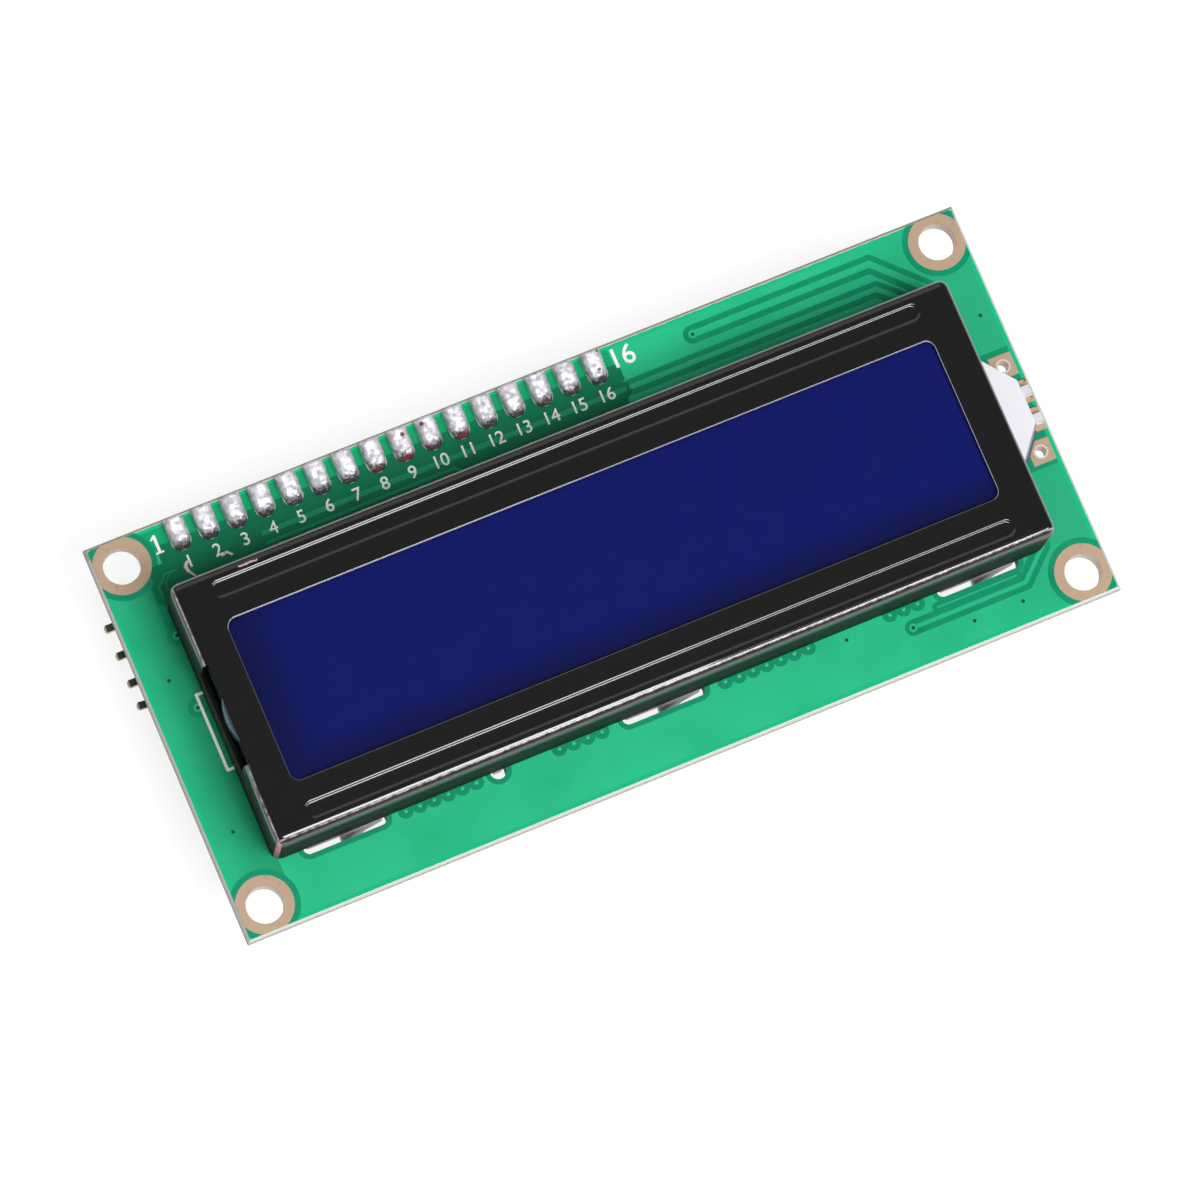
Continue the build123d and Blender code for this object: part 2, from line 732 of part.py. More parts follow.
def bridge_pads():
    """Three pairs of bare solder-bridge pads on the back of the adapter."""
    step = (bridge_pad_width + bridge_pad_gap) / 2
    centres = [
        (expander_x + i * bridge_pad_pitch, adapter_bottom + bridge_pad_inset + s * step)
        for i in (-1, 0, 1)
        for s in (-1, 1)
    ]
    pad = Rectangle(bridge_pad_length, bridge_pad_width)
    return [prism(Pos(x, y) * pad, adapter_back - plating, adapter_back) for x, y in centres]


# Chip parts as (x, y, turn), on the back of each board
lower_row_y = adapter_bottom + lower_row_inset
power_lamp_x = adapter_left + lamp_resistor_gap - chip_width
chip_column = [transistor_y - transistor_drop - i * adapter_chip_step for i in range(3)]
board_chips = [(resistor_row_x + i * resistor_step, resistor_row_y, 90) for i in range(resistor_row_count)]
board_chips += [(lamp_pad_x - lamp_resistor_offset, y, 90) for _, y in lamp_pads]
adapter_chips = [(transistor_x, y, 0) for y in chip_column[:2]]
adapter_chips += [(power_lamp_x + lamp_resistor_gap, lower_row_y, 0)]
adapter_chips += [(trimmer_x + i * trimmer_chip_step, trimmer_chip_y, 0) for i in range(2)]
adapter_caps = [(transistor_x, chip_column[2], 0), (trimmer_x + capacitor_offset, trimmer_chip_y, 90)]
power_lamps = [(power_lamp_x, lower_row_y, 0)]


def chip_set(places, height, level):
    """Bodies and metal ends of the chip parts at the given places, hanging below a level."""
    spots = [Pos(x, y, level) * Rot(180, 0, turn) for x, y, turn in places]
    bodies = [spot * chip_body(height) for spot in spots]
    ends = [spot * end for spot in spots for end in chip_ends(height)]
    return bodies, ends


def cones_at(pins, side, level, height):
    """Solder fillets around pins, standing on a board face; side is +1 in front and -1 behind."""
    cone = solder_cone(cone_radius, cone_tip_radius, height)
    turn = Rot(0, 0, 0) if side > 0 else Rot(180, 0, 0)
    return [Pos(x, y, level) * turn * cone for x, y in pins]


header_pin = square_pin(adapter_back - header_tail, plating + joint_low - joint_pin_cover)
board_resistor_bodies, board_resistor_ends = chip_set(board_chips, chip_height, board_back)
adapter_resistor_bodies, adapter_resistor_ends = chip_set(adapter_chips, chip_height, adapter_back)
capacitor_bodies, capacitor_ends = chip_set(adapter_caps, capacitor_height, adapter_back)
lamp_bodies, lamp_ends = chip_set(power_lamps, lamp_height, adapter_back)

nodes = {
    "lcd_board": [lcd_board()],
    "mounting_rings": mounting_rings(),
    "backlight_pads": lamp_eyelets(),
    "header_pads": header_pads(),
    "header_joints": header_joints(),
    "header_pins": [Pos(x, y, 0) * header_pin for x, y in header_pins],
    "header_strip": [Pos(first_pin_x, header_row_y, adapter_front) * header_strip(pin_count)],
    "bezel": [bezel()],
    "front_polarizer": [
        sheet_piece(
            polarizer_length,
            front_polarizer_width,
            glass_top,
            glass_top + front_polarizer_thickness,
            polarizer_corner_cut,
        )
    ],
    "front_glass": [sheet_piece(glass_length, front_glass_width, glass_joint, glass_top, glass_corner_cut)],
    "rear_glass": [
        sheet_piece(glass_length, rear_glass_width, rear_glass_low, glass_joint, glass_corner_cut)
    ],
    "fill_port_seal": [fill_port_seal()],
    "rear_polarizer": [
        sheet_piece(
            polarizer_length,
            rear_polarizer_width,
            rear_polarizer_low,
            rear_glass_low,
            polarizer_corner_cut,
        )
    ],
    "diffuser_film": [
        Pos((guide_left + guide_right) / 2, 0, 0)
        * sheet_piece(guide_right - guide_left, guide_width, guide_top, rear_polarizer_low)
    ],
    "light_guide": [light_guide()],
    "reflector_film": [
        Pos((guide_left + guide_right) / 2, 0, 0)
        * sheet_piece(guide_right - guide_left, guide_width, 0, reflector_thickness)
    ],
    "neck_tape": [neck_tape()],
    "contact_strip_upper": [contact_strip(1)],
    "contact_strip_lower": [contact_strip(-1)],
    "backlight_diodes": [place * diode_body() for place in diode_places()],
    "backlight_diode_ends": [place * end for place in diode_places() for end in diode_terminals()],
    "driver_caps": [
        Pos(x, y, board_back) * Rot(180, 0, 0) * epoxy_cap(radius)
        for (x, y), radius in zip(cap_centres, cap_radii)
    ],
    "board_resistors": board_resistor_bodies,
    "board_resistor_ends": board_resistor_ends,
    "adapter_board": [adapter_board()],
    "adapter_header_joints": cones_at(header_pins, -1, adapter_back, cone_height),
    "adapter_leg_joints": cones_at(bus_pins + jumper_pins, 1, adapter_front, leg_cone_height),
    "bus_header_pins": bus_header_pins(),
    "bus_header_strip": [elbow_strip(bus_pins, -1)],
    "jumper_header_pins": jumper_header_pins(),
    "jumper_header_strip": [elbow_strip(jumper_pins, 1)],
    "jumper_cap": [jumper_cap()],
    "jumper_clip": [jumper_clip()],
    "trimmer_body": [trimmer_body()],
    "trimmer_rotor": [trimmer_rotor()],
    "trimmer_leads": trimmer_leads(),
    "expander_chip": [expander_chip()],
    "expander_leads": expander_lead_set(),
    "transistor": [transistor()],
    "transistor_leads": transistor_lead_set(),
    "adapter_resistors": adapter_resistor_bodies,
    "adapter_resistor_ends": adapter_resistor_ends,
    "adapter_capacitors": capacitor_bodies,
    "adapter_capacitor_ends": capacitor_ends,
    "power_lamp": lamp_bodies,
    "power_lamp_ends": lamp_ends,
    "bridge_pads": bridge_pads(),
}

os.makedirs("parts", exist_ok=True)
for name, pieces in nodes.items():
    solids = [solid for piece in pieces for solid in piece.solids()]
    export_step(Compound(solids) if len(solids) > 1 else solids[0], f"parts/{name}.step")
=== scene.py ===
"""Looks of a character display module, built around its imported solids.

Shapes are worked in millimetres, in the module's own frame, and handed to the scene in metres.
"""
from __future__ import annotations

import json
import logging
import math
from collections.abc import Callable, Iterable, Sequence
from dataclasses import dataclass, field
from enum import Enum

import bmesh
import bpy
from mathutils import Matrix, Vector, noise


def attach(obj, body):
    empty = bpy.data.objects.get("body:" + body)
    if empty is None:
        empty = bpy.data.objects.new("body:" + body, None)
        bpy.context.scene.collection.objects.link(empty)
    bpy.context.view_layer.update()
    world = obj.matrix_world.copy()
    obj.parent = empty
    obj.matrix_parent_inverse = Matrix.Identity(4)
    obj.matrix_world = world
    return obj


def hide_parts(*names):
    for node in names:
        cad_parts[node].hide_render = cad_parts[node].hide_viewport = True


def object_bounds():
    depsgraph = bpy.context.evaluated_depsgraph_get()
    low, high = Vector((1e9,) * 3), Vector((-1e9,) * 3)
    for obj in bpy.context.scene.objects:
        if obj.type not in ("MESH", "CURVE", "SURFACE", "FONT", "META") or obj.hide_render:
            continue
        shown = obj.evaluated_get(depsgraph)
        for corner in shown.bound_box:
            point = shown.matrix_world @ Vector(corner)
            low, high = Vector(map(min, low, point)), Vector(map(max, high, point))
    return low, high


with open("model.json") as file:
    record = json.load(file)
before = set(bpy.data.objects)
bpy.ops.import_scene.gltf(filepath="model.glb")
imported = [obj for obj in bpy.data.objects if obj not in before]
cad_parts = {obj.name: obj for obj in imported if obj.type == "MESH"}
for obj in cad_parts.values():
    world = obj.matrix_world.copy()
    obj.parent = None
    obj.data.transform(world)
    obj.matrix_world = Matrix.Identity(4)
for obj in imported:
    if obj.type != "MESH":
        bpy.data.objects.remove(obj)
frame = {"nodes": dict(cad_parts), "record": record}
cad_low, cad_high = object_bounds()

LOG = logging.getLogger("display_module")
METRE = 1000.0
Triple = tuple[float, float, float]
Colour = Triple
Spot = tuple[float, float]
Line = tuple[Spot, ...]


class Body(Enum):
    """Bodies that a piece can ride on."""

    MODULE = "module"
    ROTOR = "contrast_rotor"
    JUMPER = "jumper"


class Rounded(Enum):
    """What a bevel works on."""

    EDGES = "EDGES"
    CORNERS = "VERTICES"


@dataclass(frozen=True)
class PinRow:
    """Row of pins that joins the module's board and the adapter."""

    first_x: float = -32.1
    y: float = 15.7
    pitch: float = 2.54
    count: int = 16

    def places(self) -> list[float]:
        """Places of the pins along X."""
        return [self.first_x + index * self.pitch for index in range(self.count)]


def linear(colour: Colour) -> tuple[float, float, float, float]:
    """Shader colour of a screen colour.

    Args:
        colour: Red, green and blue from 0 to 255, as they look on a screen.

    Returns:
        The same colour in linear light, with an alpha of 1.
    """
    parts = [c / 255 for c in colour]
    curve = [p / 12.92 if p <= 0.04045 else ((p + 0.055) / 1.055) ** 2.4 for p in parts]
    return (curve[0], curve[1], curve[2], 1.0)


def joined(operation: str, reflected: bool = False) -> Callable:
    """Method that joins a wire and another value with one Math node.

    Args:
        operation: The Math node's operation.
        reflected: Whether the wire stands on the right of the operator.

    Returns:
        A method for the Wire class.
    """

    def method(self: Wire, other: Wire | float) -> Wire:
        """Wire that carries the joined value."""
        pair = (other, self) if reflected else (self, other)
        return self.shader.math(operation, *pair)

    return method


class Wire:
    """A number on a shader socket; arithmetic on it adds Math nodes."""

    def __init__(self, shader: Shader, socket: bpy.types.NodeSocket) -> None:
        """Wraps a socket of the shader's tree."""
        self.shader = shader
        self.socket = socket

    __add__ = joined("ADD")
    __radd__ = joined("ADD", reflected=True)
    __sub__ = joined("SUBTRACT")
    __rsub__ = joined("SUBTRACT", reflected=True)
    __mul__ = joined("MULTIPLY")
    __rmul__ = joined("MULTIPLY", reflected=True)
    over = joined("GREATER_THAN")
    under = joined("LESS_THAN")
    least = joined("MINIMUM")
    most = joined("MAXIMUM")

    def __abs__(self) -> Wire:
        """Wire that carries the size of the number."""
        return self.shader.math("ABSOLUTE", self)

    def ramp(self, low: float, high: float) -> Wire:
        """Smooth climb over a span of the number.

        Args:
            low: Where the climb starts, with 0 below it.
            high: Where it ends, with 1 above it.

        Returns:
            A wire from 0 to 1.
        """
        settings = {"interpolation_type": "SMOOTHSTEP"}
        inputs = {"Value": self, "From Min": low, "From Max": high}
        return self.shader.wire("ShaderNodeMapRange", settings, inputs)


class Shader:
    """Node tree of one material that ends in a Principled shader."""

    def __init__(self, name: str) -> None:
        """Starts a material.

        Args:
            name: The material's name.
        """
        self.material = bpy.data.materials.new(name)
        self.material.use_nodes = True
        self.tree = self.material.node_tree
        self.surface = self.tree.nodes["Principled BSDF"]
        coordinates = self.node("ShaderNodeTexCoord").outputs["Object"]
        settings = {"operation": "SCALE"}
        inputs = {0: coordinates, "Scale": METRE}
        self.place = self.node("ShaderNodeVectorMath", settings, inputs).outputs[0]
        split = self.node("ShaderNodeSeparateXYZ", {}, {0: self.place}).outputs
        self.x, self.y, self.z = (Wire(self, socket) for socket in split)

    def node(
        self,
        kind: str,
        settings: dict | None = None,
        inputs: dict | None = None,
    ) -> bpy.types.Node:
        """Adds a node.

        Args:
            kind: The node's type.
            settings: Properties of the node, set before its inputs.
            inputs: Values, wires or sockets by the input's name or number.

        Returns:
            The new node.
        """
        node = self.tree.nodes.new(kind)
        for name, value in (settings or {}).items():
            setattr(node, name, value)
        for key, value in (inputs or {}).items():
            self.feed(node.inputs[key], value)
        return node

    def feed(self, socket: bpy.types.NodeSocket, value: object) -> None:
        """Links something to an input, or sets the input to a constant.

        Args:
            socket: The input.
            value: A wire, an output socket or a constant.
        """
        source = value.socket if isinstance(value, Wire) else value
        if isinstance(source, bpy.types.NodeSocket):
            self.tree.links.new(source, socket)
        else:
            socket.default_value = source

    def wire(self, kind: str, settings: dict, inputs: dict, output: int | str = 0) -> Wire:
        """Adds a node and wraps one of its outputs."""
        return Wire(self, self.node(kind, settings, inputs).outputs[output])

    def math(self, operation: str, *values: Wire | float) -> Wire:
        """Adds one Math node on the given values."""
        return self.wire("ShaderNodeMath", {"operation": operation}, dict(enumerate(values)))

    def stretched(self, stretch: Triple) -> bpy.types.NodeSocket:
        """Place in millimetres, stretched along the axes by the given factors."""
        return self.node("ShaderNodeMapping", {}, {"Vector": self.place, "Scale": stretch}).outputs[0]

    def noise(self, size: float, detail: float = 2.0, stretch: Triple = (1, 1, 1)) -> Wire:
        """Soft noise around 0.5.

        Args:
            size: Size of its patches in millimetres.
            detail: Octaves of finer noise on top.
            stretch: How much the pattern is squeezed along each axis.

        Returns:
            A wire from 0 to 1.
        """
        inputs = {"Vector": self.stretched(stretch), "Scale": 1.0 / size, "Detail": detail}
        return self.wire("ShaderNodeTexNoise", {}, inputs)

    def sway(self, size: float, reach: float, detail: float = 2.0) -> Wire:
        """Soft noise around zero.

        Args:
            size: Size of its patches in millimetres.
            reach: Distance between its lowest and its highest value.
            detail: Octaves of finer noise on top.

        Returns:
            A wire from minus half of the reach to half of it.
        """
        return (self.noise(size, detail) - 0.5) * reach

    def patches(self, size: float, low: float, high: float, detail: float = 2.0) -> Wire:
        """Soft patches cut from noise.

        Args:
            size: Size of the patches in millimetres.
            low: Value of the noise where a patch starts.
            high: Value of the noise where a patch is full.
            detail: Octaves of finer noise on top.

        Returns:
            A wire from 0 to 1.
        """
        return self.noise(size, detail).ramp(low, high)

    def specks(self, size: float, share: float) -> Wire:
        """Round specks scattered over the surface: 1 inside a speck and 0 outside.

        Args:
            size: Distance between specks in millimetres.
            share: Radius of a speck as a share of that distance.

        Returns:
            A wire from 0 to 1.
        """
        inputs = {"Vector": self.place, "Scale": 1.0 / size, "Randomness": 1.0}
        return 1 - self.wire("ShaderNodeTexVoronoi", {}, inputs, "Distance").ramp(share * 0.6, share)

    def mix(self, factor: Wire, first: object, second: object) -> bpy.types.NodeSocket:
        """Colour between two colours.

        Args:
            factor: Share of the second colour.
            first: A screen colour or a colour's socket.
            second: A screen colour or a colour's socket.

        Returns:
            The mixed colour's socket.
        """
        inputs = {0: factor}
        for slot, colour in ((6, first), (7, second)):
            inputs[slot] = linear(colour) if isinstance(colour, tuple) else colour
        return self.node("ShaderNodeMix", {"data_type": "RGBA"}, inputs).outputs[2]

    def between(self, value: Wire, low: float, high: float, soft: float = 0.02) -> Wire:
        """1 where a value lies between two bounds, with soft edges."""
        return value.ramp(low - soft, low + soft) * (1 - value.ramp(high - soft, high + soft))

    def bump(self, height: Wire, depth: float) -> bpy.types.NodeSocket:
        """Normal bent by a height from 0 to 1 that stands for a depth in millimetres."""
        inputs = {"Height": height, "Distance": depth / METRE, "Strength": 1.0}
        return self.node("ShaderNodeBump", {}, inputs).outputs[0]

    def dimples(self, size: float, depth: float, detail: float = 2.0) -> bpy.types.NodeSocket:
        """Normal bent by soft noise.

        Args:
            size: Size of the dimples in millimetres.
            depth: Their depth in millimetres.
            detail: Octaves of finer noise on top.

        Returns:
            The normal's socket.
        """
        return self.bump(self.noise(size, detail), depth)

    def surface_of(self, **inputs: object) -> bpy.types.Material:
        """Sets inputs of the Principled shader.

        Args:
            inputs: Values by the inputs' names, with underscores in place of spaces.

        Returns:
            The material.
        """
        for name, value in inputs.items():
            self.feed(self.surface.inputs[name.replace("_", " ")], value)
        return self.material


@dataclass(frozen=True)
class Finish:
    """Surface with soft patches of a second colour, fine grain and uneven gloss."""

    name: str
    colour: Colour
    patch_colour: Colour
    patch_size: float = 1.5
    patch_share: float = 0.5
    roughness: float = 0.4
    roughness_spread: float = 0.15
    metallic: float = 0.0
    grain_size: float = 0.12
    grain_depth: float = 0.006
    gloss: float = 0.5
    clear: float = 0.0

    def material(self) -> bpy.types.Material:
        """Material of this finish.

        Returns:
            The material.
        """
        shader = Shader(self.name)
        start = 0.72 - 0.4 * self.patch_share
        patches = shader.patches(self.patch_size, low=start, high=0.8, detail=4.0)
        return shader.surface_of(
            Base_Color=shader.mix(patches, self.colour, self.patch_colour),
            Roughness=self.roughness + shader.sway(self.patch_size * 0.6, self.roughness_spread),
            Metallic=self.metallic,
            Specular_IOR_Level=self.gloss,
            Transmission_Weight=self.clear,
            Normal=shader.dimples(self.grain_size, self.grain_depth, detail=3.0),
        )


@dataclass(frozen=True)
class BoardMask:
    """Green solder mask over copper, with a paler border and bare fibreglass at cut edges, and painted
    shade beside the bezel's left wall, towards the right end and between the pin row's joints.
    """

    name: str = "board_mask"
    pour: Colour = (42, 198, 141)
    pour_deep: Colour = (32, 186, 130)
    end_pour: Colour = (40, 176, 126)
    wall_pour: Colour = (24, 150, 104)
    # Painted shade on the pour between the pin row's joints.
    strip: Colour = (12, 164, 106)
    border: Colour = (16, 192, 136)
    back: Colour = (24, 150, 96)
    raw: Colour = (244, 243, 238)
    raw_upper: Colour = (212, 206, 190)
    raw_deep: Colour = (188, 184, 164)
    half_length: float = 40.0
    half_width: float = 18.0
    thickness: float = 1.6
    border_inset: Spot = (0.55, 0.65)
    raw_width: float = 0.17
    peel_width: float = 0.16
    upper_edge: float = 1.0
    face_margin: float = 0.02
    weave_fade: Spot = (0.8, -0.3)
    strip_y: Spot = (15.5, 15.7)
    strip_end: float = 7.6
    wall_x: Spot = (-39.2, -36.2)
    wall_end: float = -35.0
    wall_shares: Spot = (0.25, 0.55)
    end_x: Spot = (30.0, 37.0)

    def material(self) -> bpy.types.Material:
        """Material of the mask, with the raw edges of the board.

        Returns:
            The material.
        """
        shader = Shader(self.name)
        wobble = shader.sway(size=0.7, reach=0.16, detail=3.0)
        inset_x = self.half_length - abs(shader.x) + wobble
        inset_y = self.half_width - abs(shader.y) + wobble
        peeled = self.half_width - shader.y - self.peel_width + wobble
        inset = inset_x.least(inset_y)
        cut = inset.least(peeled).under(self.raw_width)
        inside = shader.z.under(-self.face_margin) * shader.z.over(self.face_margin - self.thickness)
        raw = cut.most(inside)
        border = 1 - inset.ramp(*self.border_inset)
        cloud = shader.patches(size=9.0, low=0.35, high=0.75, detail=3.0)
        face = shader.mix(cloud, self.pour, self.pour_deep)
        # Painted shade: the pour darkens towards the right end of the board.
        face = shader.mix(shader.x.ramp(*self.end_x), face, self.end_pour)
        # Painted shade: the mask darkens towards the bezel's left wall, where the wall keeps light off
        # the board.
        far, nearer = self.wall_shares
        beside = shader.x.under(self.wall_end) * (far + nearer * shader.x.ramp(*self.wall_x))
        face = shader.mix(beside, face, self.wall_pour)
        # Painted shade: the pour between the joints of the pin row is darker.
        strip = shader.y.ramp(*self.strip_y) * shader.x.under(self.strip_end)
        face = shader.mix(strip, face, self.strip)
        face = shader.mix(border, face, self.border)
        face = shader.mix(shader.z.under(-0.5 * self.thickness), face, self.back)
        weave = shader.noise(size=0.25, stretch=(1, 1, 6))
        pale = shader.mix(shader.y.over(self.half_width - self.upper_edge), self.raw, self.raw_upper)
        faded, fade_level = self.weave_fade
        edge = shader.mix(weave * (1 - faded * shader.z.over(fade_level)), pale, self.raw_deep)
        orange_peel = 0.6 * shader.noise(size=0.5) + 0.4 * weave
        return shader.surface_of(
            Base_Color=shader.mix(raw, face, edge),
            Roughness=0.3 + 0.45 * raw + shader.sway(size=3.0, reach=0.1),
            Specular_IOR_Level=0.25,
            Normal=shader.bump(orange_peel, depth=0.004),
        )


@dataclass(frozen=True)
class BezelPaint:
    """Gloss black paint on folded steel, worn thin over the bends, with painted sheen and a painted
    highlight line along the bends, a painted highlight round the window's edge, and bare metal with a
    painted glint at the front corner slits.
    """

    name: str = "bezel_paint"
    paint: Colour = (14, 14, 15)
    dust: Colour = (40, 38, 40)
    # Worn paint over the bends, lightened further as a painted sheen.
    thin: Colour = (72, 68, 72)
    # Painted highlight along the left and front bends.
    bright: Colour = (232, 226, 232)
    # Painted highlight along the window's cut edge.
    rim: Colour = (204, 201, 208)
    rim_levels: Spot = (6.85, 6.985)
    rim_reach: Spot = (33.0, 8.0)
    rim_lit: Spot = (31.5, 6.0)
    bare: Colour = (255, 176, 186)
    residue: Colour = (206, 170, 174)
    residue_x: Spot = (-29.35, -27.65)
    residue_y: Spot = (10.46, 10.62)
    axis_y: float = -0.6
    flat_x: float = 34.65
    flat_y: float = 11.1
    left_band: Triple = (0.28, 0.42, 6.6)
    front_band: Triple = (0.4, 0.5, 5.95)
    left_line: Spot = (0.4, 0.52)
    front_line: Spot = (0.24, 0.4)
    corner_x: float = 34.6
    corner_y: float = 11.05
    seam: float = 0.32
    seam_start: float = 0.35
    seam_top: float = 6.5
    coated_above: float = 6.4
    wall: Spot = (4.8, 6.1)

    @staticmethod
    def band(shader: Shader, beyond: Wire, limits: Triple) -> Wire:
        """Strip along a bend.

        Args:
            shader: The material's shader.
            beyond: Distance past the flat of the top.
            limits: Distances where the strip starts and is full, and its lowest level.

        Returns:
            A wire from 0 to 1.
        """
        start, full, low = limits
        return beyond.ramp(start, full) * shader.z.ramp(low, low + 0.15)

    def material(self) -> bpy.types.Material:
        """Material of the bezel.

        Returns:
            The material.
        """
        shader = Shader(self.name)
        west = -1 * shader.x - self.flat_x
        south = self.axis_y - self.flat_y - shader.y
        grain = shader.patches(size=0.5, low=0.35, high=0.65, detail=4.0)
        # Wear along the left and front bends, paler than real wear as a painted sheen where the bends
        # catch the light.
        front_wear_and_sheen = 0.7 * self.band(shader, south, self.front_band)
        wear_and_sheen = self.band(shader, west, self.left_band).most(front_wear_and_sheen)
        upper = shader.z.over(self.seam_top)
        # Painted highlight: a bright line along the left and front bends, near their tops.
        front_line = shader.between(south, *self.front_line)
        line = shader.between(west, *self.left_line).most(front_line) * upper
        # Bare metal at the front corner slits, made bright as a painted glint.
        across = abs(shader.x) - self.corner_x
        along = abs(shader.y - self.axis_y) - self.corner_y
        seam = abs(across - along).under(self.seam) * across.least(along).over(self.seam_start)
        seam = seam * shader.z.under(self.seam_top) * shader.y.under(0)
        seam = seam * shader.patches(size=1.6, low=0.3, high=0.4)
        dust = shader.specks(size=2.2, share=0.05) * shader.patches(size=3.0, low=0.5, high=0.6)
        colour = shader.mix(dust, self.paint, self.dust)
        colour = shader.mix(wear_and_sheen * (0.6 + 0.4 * grain), colour, self.thin)
        colour = shader.mix(line * (0.12 + 0.45 * grain), colour, self.bright)
        # Painted highlight along the window's cut edge, brighter on its right and top sides.
        low, high = self.rim_levels
        reach_x, reach_y = self.rim_reach
        lit_x, lit_y = self.rim_lit
        rim = shader.z.over(low) * shader.z.under(high) * abs(shader.x).under(reach_x)
        rim = rim * abs(shader.y - self.axis_y).under(reach_y)
        lit = shader.x.over(lit_x).most(shader.y.over(lit_y))
        colour = shader.mix(rim * (0.2 + 0.5 * lit), colour, self.rim)
        wave = shader.sway(size=0.5, reach=0.3)
        residue = shader.between(shader.y + wave, *self.residue_y)
        residue = shader.between(shader.x, *self.residue_x) * residue
        colour = shader.mix(residue * upper, colour, self.residue)
        wall = 1 - shader.z.ramp(*self.wall)
        return shader.surface_of(
            Base_Color=shader.mix(seam, colour, self.bare),
            Roughness=0.14 + 0.08 * shader.noise(size=1.3, detail=3.0) + 0.06 * wear_and_sheen + 0.5 * wall,
            Coat_Weight=shader.z.over(self.coated_above),
            Specular_IOR_Level=0.28,
            Normal=shader.dimples(size=0.35, depth=0.006, detail=3.0),
        )


@dataclass(frozen=True)
class DisplayFilm:
    """Deep blue face of the unlit display under its smooth polarizer."""

    name: str = "display_face"
    field_colour: Colour = (13, 23, 99)
    edge_colour: Colour = (10, 15, 62)
    axis_y: float = -0.6
    half_length: float = 32.1
    half_width: float = 7.3
    fade_x: float = 5.0
    fade_y: float = 3.5
    fade: float = 0.8

    def material(self) -> bpy.types.Material:
        """Material of the display's face.

        Returns:
            The material.
        """
        shader = Shader(self.name)
        # Painted shade: darker towards the window's left and bottom edges, with soft random tone on top.
        left = 1 - (shader.x + self.half_length).ramp(0.0, self.fade_x)
        low = 1 - (shader.y - self.axis_y + self.half_width).ramp(0.0, self.fade_y)
        shade = left.most(low) * self.fade + shader.sway(size=8.0, reach=0.3)
        return shader.surface_of(
            Base_Color=shader.mix(shade, self.field_colour, self.edge_colour),
            Roughness=0.2 + 0.04 * shader.noise(size=2.0),
            Specular_IOR_Level=0.2,
            Normal=shader.dimples(size=1.5, depth=0.001),
        )


@dataclass(frozen=True)
class Solder:
    """Dull hot-dipped solder with pits and browned flux in them."""

    name: str = "solder"
    bright: Colour = (226, 223, 226)
    dull: Colour = (184, 180, 188)
    burnt: Colour = (92, 62, 50)

    def material(self) -> bpy.types.Material:
        """Material of the solder.

        Returns:
            The material.
        """
        shader = Shader(self.name)
        cloud = shader.patches(size=0.5, low=0.35, high=0.7, detail=4.0)
        pits = shader.specks(size=0.9, share=0.16) * shader.patches(size=1.7, low=0.5, high=0.56)
        colour = shader.mix(cloud, self.bright, self.dull)
        return shader.surface_of(
            Base_Color=shader.mix(pits, colour, self.burnt),
            Roughness=0.34 + 0.2 * cloud + 0.3 * pits,
            Metallic=0.7 - 0.5 * pits,
            Normal=shader.dimples(size=0.22, depth=0.01, detail=3.0),
        )


@dataclass(frozen=True)
class RowSolder:
    """Pale solder of the pin row, with painted shade at the foot of each joint, and reddish flux in
    places.
    """

    name: str = "row_solder"
    pale: Colour = (228, 226, 232)
    grey: Colour = (182, 177, 188)
    tarnish: Colour = (60, 50, 54)
    flux: Colour = (186, 74, 84)
    fluxed: Spot = (-15.5, -5.5)
    burnt: Colour = (96, 64, 52)
    foot: Spot = (15.0, 15.75)
    flux_end: Spot = (15.1, 15.35)

    def material(self) -> bpy.types.Material:
        """Material of the joints.

        Returns:
            The material.
        """
        shader = Shader(self.name)
        cloud = shader.patches(size=0.45, low=0.4, high=0.68, detail=3.0)
        pits = shader.specks(size=1.3, share=0.19) * shader.patches(size=2.1, low=0.49, high=0.53)
        edge = shader.sway(size=0.24, reach=1.7)
        # Painted shade on the front foot of each joint.
        foot = 1 - (shader.y + edge).ramp(*self.foot)
        first, last = self.fluxed
        fluxed = shader.x.over(first) * shader.x.under(last)
        red = fluxed * shader.patches(size=0.55, low=0.42, high=0.58)
        red = red * (1 - shader.y.ramp(*self.flux_end)) * 0.85
        colour = shader.mix(cloud, self.pale, self.grey)
        colour = shader.mix(foot * 0.9, colour, self.tarnish)
        colour = shader.mix(red, colour, self.flux)
        return shader.surface_of(
            Base_Color=shader.mix(pits, colour, self.burnt),
            Roughness=0.4 + 0.2 * cloud - 0.14 * foot,
            Metallic=0.35 - 0.2 * pits,
            Normal=shader.dimples(size=0.3, depth=0.012),
        )


